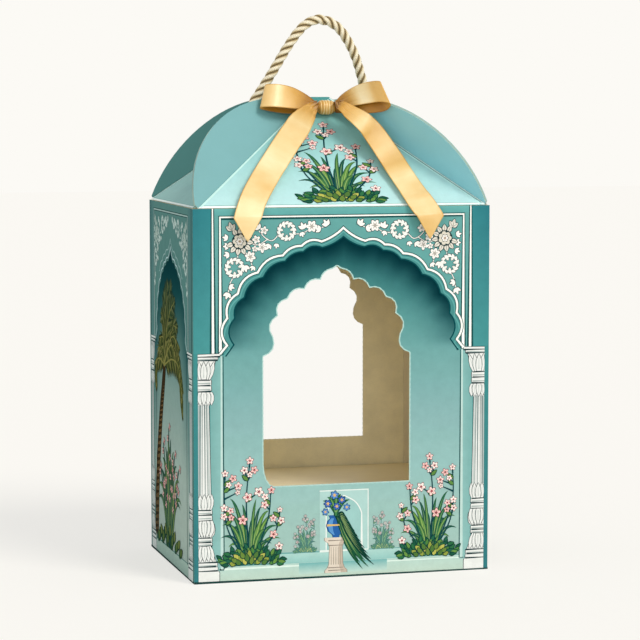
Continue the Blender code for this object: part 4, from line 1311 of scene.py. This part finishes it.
WALL_PRINTS = {
    "front": (panel_tone, front_print, 0.0034), "back": (panel_tone, front_print, 0.0034),
    "left": (side_tone, side_print, 0.004), "right": (side_tone, side_print, 0.004),
}
for side, (tone, draw, gap) in WALL_PRINTS.items():
    way, _, depth = SIDES[side]
    outward, run = Vector(way), Vector((-way[1], way[0], 0))
    printed_board(side + "_wall", "box", outward * (depth * MM), run, outward, tone, draw, gap)


# ---- Lock bottom and platform insert ----
# The base is closed by four flaps of the same carton, folded in and locked. The insert is a
# second piece of board, a deck on four folded skirts, that lifts what stands in the box into view.

DECK, SKIRTS = "#fff1c8", "#f5e6bb"

dress(["base_front_flap"], laminated_board("teal_board_base", (0, 0, -1), "#417c80"))
dress(
    ["base_back_flap", "base_left_flap", "base_right_flap"],
    laminated_board("kraft_base", (0, 0, 1), KRAFT),
)
dress(["platform_deck"], laminated_board("kraft_deck", (0, 0, 1), DECK, inside=DECK))
dress(
    ["platform_%s_skirt" % side for side in SIDES],
    laminated_board("kraft_skirts", (0, 0, 1), SKIRTS, inside=SKIRTS),
)


# ---- Roof flaps ----
# Four flaps of the carton, creased along the walls. Each has a flat panel and two wings with a
# curved cut edge, folded up along its hips; the light and dark of the creases are painted on as
# highlight and shade lines.

ROOF_RISE = 77.0
WALL_TOP = 0.243
ROOF_CUT = "#93bcb9"
PANEL_INKS = {"front": ("#b6dfe1", "#84c0bf"), "left": ("#a0c9c6", "#84b3b2")}
PANEL_INKS.update(back=PANEL_INKS["front"], right=PANEL_INKS["left"])
PEAK_INK = "#4f9796"
# The tones of each side's left and right wing: one teal print, with painted shade on the left wings and
# painted light on the right, the side flaps' left wings darkest
WING_TONES_WITH_PAINTED_SHADE = {"front": ("#6ea6ab", "#90cfdb"), "left": ("#3f7876", "#6ea6ab")}
WING_TONES_WITH_PAINTED_SHADE.update(back=WING_TONES_WITH_PAINTED_SHADE["front"], right=WING_TONES_WITH_PAINTED_SHADE["left"])
PRINT_FOOT = 0.8
# The painted highlight and painted shade lines along a hip: how far in from it, how wide, and their colour
HIP_HIGHLIGHT_AND_SHADE_LINES = ((0.7, 0.9, "#d9f2ef"), (1.9, 0.45, "#3c7f80"), (2.6, 0.7, "#c4ebe8"))


def broad_side(node_name, toward):
    """The way out of a board's broad face on the side that faces toward."""
    areas = {}
    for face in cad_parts[node_name].data.polygons:
        key = tuple(round(c, 2) for c in face.normal)
        areas.setdefault(key, [0.0, Vector((0, 0, 0))])
        areas[key][0] += face.area
        areas[key][1] += face.normal * face.area
    facing = [area for area in areas.values() if area[1].dot(Vector(toward)) > 0]
    return max(facing, key=lambda area: area[0])[1].normalized()


def painted_crease_lines(p, half, slope):
    """Painted highlight and shade of a roof panel's creases: a pale painted highlight on the eave with a
    darker line above it, and pale highlights either side of a dark painted shade line along each hip.
    """
    p.line([(-half + 3.2, 1.6), (half - 3.2, 1.6)], 1.2, "#eef9f6", 2)
    p.line([(-half + 4.4, 2.5), (half - 4.4, 2.5)], 0.35, "#8cbcb9", 2)
    for side in (-1, 1):
        hip = [(side * (half * 0.97 - 0.7), slope * 0.03), (side * half * 0.085, slope * 0.915)]
        into = Vector((-side * slope, -half)).normalized()
        for off, width, code in HIP_HIGHLIGHT_AND_SHADE_LINES:
            p.line([Vector(q) + into * off for q in hip], width, code, 2)


for side, (way, half, depth) in SIDES.items():
    panel = side + "_roof_panel"
    low, high = PANEL_INKS[side]
    out = broad_side(panel, way)
    dress([panel], laminated_board(side + "_roof_board", tuple(out), low, core=ROOF_CUT))
    slope = math.hypot(depth, ROOF_RISE)

    def facet_tone(u, v):
        """The panel's ink, which goes darker up its slope and dark at the peak."""
        return mixed(mixed(low, high, (v - 8) / 70), PEAK_INK, (v - 78) / 12)

    def facet_print(p):
        """The painted crease highlights and shade, and on a long side the plant on its mound of leaves."""
        painted_crease_lines(p, half, slope)
        if side in ("front", "back"):
            p.where(scale=1.36, shift=-1.5)
            garden_plant(p, (0, 4.2), 1, 3)
            p.where()

    corner = Vector(way) * depth * MM + Vector((0, 0, WALL_TOP))
    run = Vector((-way[1], way[0], 0))
    printed_board(
        panel, side + "_flap", corner, run, out, facet_tone, facet_print, 0.006, PRINT_FOOT,
    )
    # Each wing's board colour carries its painted light or shade
    for hand, printed in zip(("left", "right"), WING_TONES_WITH_PAINTED_SHADE[side]):
        wing = "%s_%s_wing" % (side, hand)
        out = broad_side(wing, way)
        dress([wing], laminated_board(wing + "_board", tuple(out), printed, core=ROOF_CUT))


# ---- Rope ends and tie strip ----
# Under each side flap the rope ends in a plain stopper knot, too thick for its hole. A strip of
# pale paper, threaded through the bow's knot, is glued down behind the front flap's point.

STOPPER_STEPS = 96
STOPPER_LAYS = 5
STOPPER_SIDES = 18
STOPPER_CORD = 0.42

for side in ("left", "right"):
    name = "handle_knot_" + side
    low, high = (Vector(corner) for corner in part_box(name))
    middle, room = (low + high) / 2, (high - low) / 2
    cord_radius = min(room) * STOPPER_CORD
    reach_x, reach_y, reach_z = (size - cord_radius for size in room)
    route = []
    for k in range(STOPPER_STEPS):
        t = 2 * math.pi * k / STOPPER_STEPS
        wide = (2 + math.cos(3 * t)) / 3
        route.append(middle + Vector((
            math.cos(2 * t) * wide * reach_x, math.sin(2 * t) * wide * reach_y,
            math.sin(3 * t) * reach_z,
        )))
    bm, along, across, reach = started("along", "across", "reach")
    for v in bmesh.ops.create_circle(bm, segments=STOPPER_SIDES, radius=1.0)["verts"]:
        share = math.atan2(v.co.y, v.co.x) / (2 * math.pi) % 1
        lobe = abs(math.cos(3 * math.pi * share))
        # Painted highlight and shade: the lobes of the cord's section are painted paler than the hollows
        # between them
        v[across], v[reach] = share, 0.55 + 0.45 * lobe
        v.co *= 0.80 + 0.20 * lobe
    stations, way = [], 0.0
    for k in range(STOPPER_STEPS + 1):
        spot, before, after = route[k % STOPPER_STEPS], route[k - 1], route[(k + 1) % STOPPER_STEPS]
        ahead = (after - before).normalized()
        flat = ahead.cross(spot - middle).normalized()
        twist = Matrix.Rotation(2 * math.pi * STOPPER_LAYS * k / STOPPER_STEPS, 3, ahead)
        sideways, up = twist @ flat * cord_radius, twist @ ahead.cross(flat) * cord_radius
        way += (spot - before).length if k else 0
        stations.append((way, frame_at(spot, sideways, up)))
    sweep(bm, bm.edges[:], stations)
    write_uv(bm, 1)
    bmesh.ops.remove_doubles(bm, verts=bm.verts, dist=1e-6)
    knot = piece(name + "_cord", bm, cord_gold, side + "_flap")
    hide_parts(name)

# Tie: thin pale paper, matt, with a faint grain
tie_paper, tree, shader, place = start_material("pale_tie_paper", {"Roughness": 0.5, "IOR": 1.46})
grain = {"Vector": place.outputs["Object"], "Scale": 900.0, "Detail": 4.0, "Roughness": 0.7}
fibres = node(tree, "TexNoise", grain)
tone = node(tree, "ValToRGB", {0: fibres}, stops=[(0.35, "#c9dcd4"), (0.65, "#e9f0e6")])
tree.links.new(tone.outputs[0], shader.inputs["Base Color"])
bump = node(tree, "Bump", {"Height": fibres, "Distance": 0.00003, "Strength": 0.4})
tree.links.new(bump.outputs[0], shader.inputs["Normal"])
dress(["bow_tie_strip"], tie_paper)


# ---- Ribbon bow ----
# A bow of 17.5 mm gold polyester satin ribbon on the front flap: two loops, a knot of folded
# ribbon wound round their gathered middle, and two tails cut to a point that hang over the eave.

RIBBON_WIDTH = 0.0175
RIBBON_THICKNESS = 0.00035
RIBBON_COLUMNS = 24
RIBBON_STEPS = 7
# Satin ribbon: the warp floats on its face. Its soft bright bands are painted sheen, from noise drawn
# out along the ribbon, and the deep orange of its folds is painted shade. Warp threads are 0.12 mm
# apart, drawn at 0.35 mm so that they show.
WARP_GAP = 0.00035
# From deep orange painted fold shade through the satin's gold to near-white painted highlight
SATIN_SHADE_TO_SHEEN = [
    (0.0, "#875508"), (0.25, "#ab761a"), (0.48, "#cb9a42"), (0.68, "#e1bb75"), (0.86, "#f1d9a2"),
    (1.0, "#fdf2cd"),
]
satin, tree, shader, place = start_material(
    "gold_polyester_satin",
    {
        "Roughness": 0.32, "IOR": 1.54, "Specular IOR Level": 0.5, "Anisotropic": 0.4,
        "Sheen Weight": 0.08, "Sheen Roughness": 0.35,
    },
)
steps = node(tree, "SeparateXYZ", {0: place.outputs["UV"]})
threads = {0: steps.outputs[1], 1: RIBBON_WIDTH / WARP_GAP * 2 * math.pi}
warp = node(tree, "Math", threads, operation="MULTIPLY")
warp = node(tree, "Math", {0: warp}, operation="SINE")
drawn = node(tree, "Mapping", {"Vector": place.outputs["UV"], "Scale": (75, 0.9, 1)})
# Painted sheen: soft bright bands drawn out along the ribbon
painted_sheen_bands = node(tree, "TexNoise", {"Vector": drawn, "Scale": 1.0, "Detail": 3.0, "Roughness": 0.5})
# Painted shade: each ribbon's table darkens its folds and the parts near the knot
painted_fold_shade = node(tree, "Attribute", attribute_name="painted_fold_shade")
level = node(tree, "Math", {0: painted_sheen_bands, 1: 0.26, 2: 0.77}, operation="MULTIPLY_ADD")
level = node(tree, "Math", {0: warp, 1: 0.02, 2: level}, operation="MULTIPLY_ADD")
deepened = {0: painted_fold_shade.outputs["Fac"], 1: -0.78, 2: level}
level = node(tree, "Math", deepened, operation="MULTIPLY_ADD")
# The selvedges: a darker line beside each edge, and a rib on it
edge = node(tree, "Math", {0: steps.outputs[1], 1: 0.5}, operation="SUBTRACT")
edge = node(tree, "Math", {0: edge}, operation="ABSOLUTE")
selvedge = node(tree, "MapRange", {0: edge, 1: 0.455, 2: 0.475, 3: 0.0, 4: -0.16})
level = node(tree, "Math", {0: level, 1: selvedge}, operation="ADD")
tone = node(tree, "ValToRGB", {0: level}, stops=SATIN_SHADE_TO_SHEEN)
rib = node(tree, "MapRange", {0: edge, 1: 0.465, 2: 0.48, 3: 0.0, 4: 2.0})
height = node(tree, "Math", {0: warp, 1: rib}, operation="ADD")
tree.links.new(tone.outputs[0], shader.inputs["Base Color"])
bump = node(tree, "Bump", {"Height": height, "Distance": 0.00002, "Strength": 0.5})
tree.links.new(bump.outputs[0], shader.inputs["Normal"])

KNOT_LENGTH = 0.0115
KNOT_RADIUS = 0.0048
KNOT_CENTRE = Vector((2.1, -18.7, 307.0)) * MM
KNOT_END = 0.0063
LOOP_REACH = 0.040
TAIL_TIP = 0.0155
TIP_STEPS = 6
TIP_WIDTH = 0.015
front_normal = Vector((0, -0.740, 0.673)).normalized()
panel_up = Vector((0, 0.673, 0.740)).normalized()


def ribbon(name, centres, across, widths, painted_shade_at, tip=None):
    """A band of ribbon: a pleated row of threads drawn along centres, with a solid thickness.

    Across is half the ribbon, left to right, at each centre, and widths are shares of its width;
    where it is drawn in, it gathers in deep pleats.
    """
    bm, along, share, deep = started("along", "across", "painted_fold_shade")
    row = bm.edges.new((bm.verts.new((-1, 0, 0)), bm.verts.new((1, 0, 0))))
    bmesh.ops.subdivide_edges(bm, edges=[row], cuts=RIBBON_COLUMNS - 1)
    for v in bm.verts:
        turn = math.pi * v.co.x
        v.co.y = 0.55 * math.cos(2.6 * turn + 0.5) + 0.35 * math.cos(5.3 * turn - 0.8)
        v[share] = (v.co.x + 1) / 2
    stations, way = [], 0.0
    for k, (centre, half, width) in enumerate(zip(centres, across, widths)):
        pleats = 0.0014 * max(0.0, 1 - width) ** 1.2
        facing = run_at(centres, k).normalized().cross(half).normalized()
        way += (centre - centres[max(k - 1, 0)]).length
        stations.append((way, frame_at(centre, half, facing * max(pleats, 1e-6))))
    last = sweep(bm, bm.edges[:], stations)
    if tip is not None:
        narrowed = [stations[-1]]
        for k in range(1, TIP_STEPS + 1):
            matrix = stations[-1][1].copy()
            for c in range(3):
                matrix[c][0] *= 1 - (1 - TIP_WIDTH) * k / TIP_STEPS
            matrix.translation = centres[-1].lerp(tip, k / TIP_STEPS)
            narrowed.append((way + (tip - centres[-1]).length * k / TIP_STEPS, matrix))
        ends = corners_of(sweep_on(bm, last, narrowed))
        for v in ends:
            v[share] = 0.5
        bmesh.ops.pointmerge(bm, verts=ends, merge_co=tip)
    # Painted shade: each corner is darkened by its place along the ribbon
    for v in bm.verts:
        v[deep] = painted_shade_at(v[along] / way)
    write_uv(bm, 0)
    made = piece(name, bm, satin, "front_flap")
    solid = made.modifiers.new("thickness", "SOLIDIFY")
    solid.thickness, solid.offset = RIBBON_THICKNESS, 0
    return made, way


def along_table(rows):
    """A function of the share of a ribbon's way that runs through the rows' numbers."""
    def read(t):
        """The number at a share of the way."""
        for (t0, a), (t1, b) in zip(rows, rows[1:]):
            if t <= t1:
                return a + (b - a) * max(0.0, t - t0) / (t1 - t0)
        return rows[-1][1]
    return read


# Painted shade along each ribbon, by the share of its way: 1 is the deepest painted fold shade, 0 takes no
# painted shade and faces the light
PAINTED_RIBBON_SHADE = {
    "bow_left_loop": along_table([
        (0, 1.0), (0.08, 0.9), (0.20, 0.55), (0.30, 0.35), (0.38, 0.02), (0.45, 0.22),
        (0.52, 0.30), (0.58, 0.85), (0.75, 0.72), (1, 1.0),
    ]),
    "bow_right_loop": along_table([
        (0, 1.0), (0.08, 0.80), (0.13, 0.62), (0.18, 0.35), (0.24, 0.0), (0.32, 0.02),
        (0.39, 0.38), (0.46, 0.40), (0.52, 0.60), (0.58, 0.95), (0.75, 0.80), (1, 1.0),
    ]),
    "bow_left_tail": along_table([
        (0, 1.0), (0.08, 0.70), (0.16, 0.50), (0.24, 0.12), (0.36, 0.20), (0.55, 0.0),
        (0.74, 0.22), (1, 0.10),
    ]),
    "bow_right_tail": along_table([
        (0, 1.0), (0.10, 0.65), (0.18, 0.45), (0.27, 0.08), (0.36, 0.50), (0.48, 0.30),
        (0.60, 0.42), (0.70, 0.04), (0.84, 0.18), (1, 0.30),
    ]),
}

# Stations of a loop: outward, forward and upward as shares of its reach, and the width's share
LOOPS = {
    "bow_left_loop": (-1, [
        (0, .019, .017, .40), (.228, .070, .090, .74), (.549, .150, .160, .97),
        (.904, .210, .200, 1), (1.118, .130, .190, 1), (1.050, .060, .150, 1),
        (.644, .010, .080, .97), (.252, -.020, .020, .70), (0, -.024, -.022, .40),
    ]),
    "bow_right_loop": (1, [
        (0, .019, .017, .40), (.157, .110, .110, .68), (.407, .320, .210, .88),
        (.644, .540, .260, .94), (.810, .660, .240, 1), (.751, .560, .130, 1),
        (.513, .385, .080, .97), (.217, .110, .020, .70), (0, -.024, -.022, .40),
    ]),
}
for name, (hand, rows) in LOOPS.items():
    far_lean = Vector((-hand * 0.30, 0.43, 0.85)).normalized()
    table = []
    for out, forward, up, width in rows:
        reach_out = hand * (KNOT_END + out * (LOOP_REACH - KNOT_END))
        centre = KNOT_CENTRE + Vector((reach_out, -forward * LOOP_REACH, up * LOOP_REACH))
        table.append((centre, panel_up.lerp(far_lean, min(1, out)), Vector((width, 0, 0))))
    centres, leans, widths = (
        smooth_line([row[k] for row in table], RIBBON_STEPS) for k in range(3)
    )
    widths = [width.x for width in widths]
    across = [lean.normalized() * (w * RIBBON_WIDTH / 2) for lean, w in zip(leans, widths)]
    loop, length = ribbon(name + "_satin", centres, across, widths, PAINTED_RIBBON_SHADE[name])
    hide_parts(name)


def on_front(across, climb, lift):
    """A place over the front roof panel: across and climb as shares, lift in metres."""
    wide, deep, rise = (size * MM for size in (HALF_WIDE, HALF_DEEP, ROOF_RISE))
    foot = Vector((across * wide, -deep * (1 - climb), WALL_TOP + rise * climb))
    return foot + front_normal * lift


# A tail's side and foot, and its stations: across and climb as shares of the roof, then its lift
# and its width as shares of the ribbon's. Over the eave it hangs, a little wider than flat.
TAILS = {
    "bow_left_tail": (-1, -0.62, [
        (-.103, .696, .88, .50), (-.141, .664, .82, .72), (-.191, .618, .62, .95),
        (-.231, .573, .43, 1), (-.285, .509, .31, 1), (-.390, .363, .26, 1),
        (-.496, .210, .23, 1), (-.600, .040, .20, 1),
    ]),
    "bow_right_tail": (1, 0.545, [
        (.082, .707, .95, .50), (.134, .652, .96, .72), (.211, .573, .95, .92),
        (.279, .507, .72, 1), (.360, .393, .40, 1), (.424, .250, .25, 1),
        (.480, .105, .21, 1), (.510, .030, .20, 1),
    ]),
}
for name, (hand, foot, rows) in TAILS.items():
    knot_side = KNOT_CENTRE + Vector((hand * KNOT_END, 0, 0))
    table = [(knot_side + front_normal * KNOT_RADIUS * 0.72, 0.30)]
    for over, climb, lift, width in rows:
        table.append((on_front(over, climb, lift * RIBBON_WIDTH), width))
    table.append((Vector((foot * 0.1 + hand * 0.003, -0.075, 0.237)), 1.06))
    centres = smooth_line([centre for centre, _ in table], RIBBON_STEPS)
    widths = [w.x for w in smooth_line([Vector((w, 0, 0)) for _, w in table], RIBBON_STEPS)]
    across = []
    for k, width in enumerate(widths):
        hung = max(0, 1 - 0.45 * (len(centres) - 1 - k) / RIBBON_STEPS)
        facing = front_normal.lerp(Vector((0, -1, 0)), hung)
        side = run_at(centres, k).cross(facing).normalized()
        gathered = panel_up if side.dot(panel_up) > 0 else -panel_up
        side = gathered.lerp(side, min(1, k / (2 * RIBBON_STEPS))).normalized()
        side = side.lerp(Vector((math.copysign(1, side.x), 0, 0)), hung * hung).normalized()
        across.append(side * (width * RIBBON_WIDTH / 2))
    tip = centres[-1] - Vector((0, 0, TAIL_TIP))
    tail, length = ribbon(name + "_satin", centres, across, widths, PAINTED_RIBBON_SHADE[name], tip)
    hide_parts(name)
    # It bends between the flap and the wall, so it doesn't ride on the flap alone
    tail.parent = None
    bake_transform(tail, "front_flap", "box", start=(0, -0.0700, 0.2500), end=(0, -0.0750, 0.2430))

# The knot: ribbon folded small and wound round the middle, its creases running with the turn
KNOT_COLUMNS = 44
KNOT_STATIONS = 48
bm, along, share, deep = started("along", "across", "painted_fold_shade")
row = bm.edges.new((bm.verts.new((-1, 0, 0)), bm.verts.new((1, 0, 0))))
bmesh.ops.subdivide_edges(bm, edges=[row], cuts=KNOT_COLUMNS - 1)
for v in bm.verts:
    x = v.co.x
    creases = 0.022 * math.cos(19 * x + 0.6) + 0.016 * math.cos(37 * x)
    v.co.y = (1 - abs(x) ** 3.2 * 0.32) + creases
    v[share] = (x + 1) / 2
    # Painted shade: darker towards the knot's sides and in the creases' hollows
    v[deep] = clamped(0.34 + 0.35 * abs(x) ** 2 - creases * 11)
stations = []
for k in range(KNOT_STATIONS + 1):
    turn = 2 * math.pi * k / KNOT_STATIONS
    out = Vector((0, math.cos(turn), math.sin(turn))) * KNOT_RADIUS
    sideways = Vector((KNOT_LENGTH / 2, 0, 0))
    stations.append((turn * KNOT_RADIUS, frame_at(KNOT_CENTRE, sideways, out)))
sweep(bm, bm.edges[:], stations)
write_uv(bm, 0)
bmesh.ops.remove_doubles(bm, verts=bm.verts, dist=1e-7)
bmesh.ops.holes_fill(bm, edges=[e for e in bm.edges if e.is_boundary], sides=0)
for v in bm.verts:
    off = v.co - KNOT_CENTRE
    turn = math.atan2(off.y, off.z)
    wander = noise.noise(Vector((off.x * 500, turn * 1.1, 0.3)))
    v.co += Vector((0, off.y, off.z)) * 0.045 * wander
    v.co.x += 0.0006 * noise.noise(Vector((off.x * 300, turn * 0.8, 4.1)))
knot = piece("bow_knot_satin", bm, satin, "front_flap")
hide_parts("bow_knot")
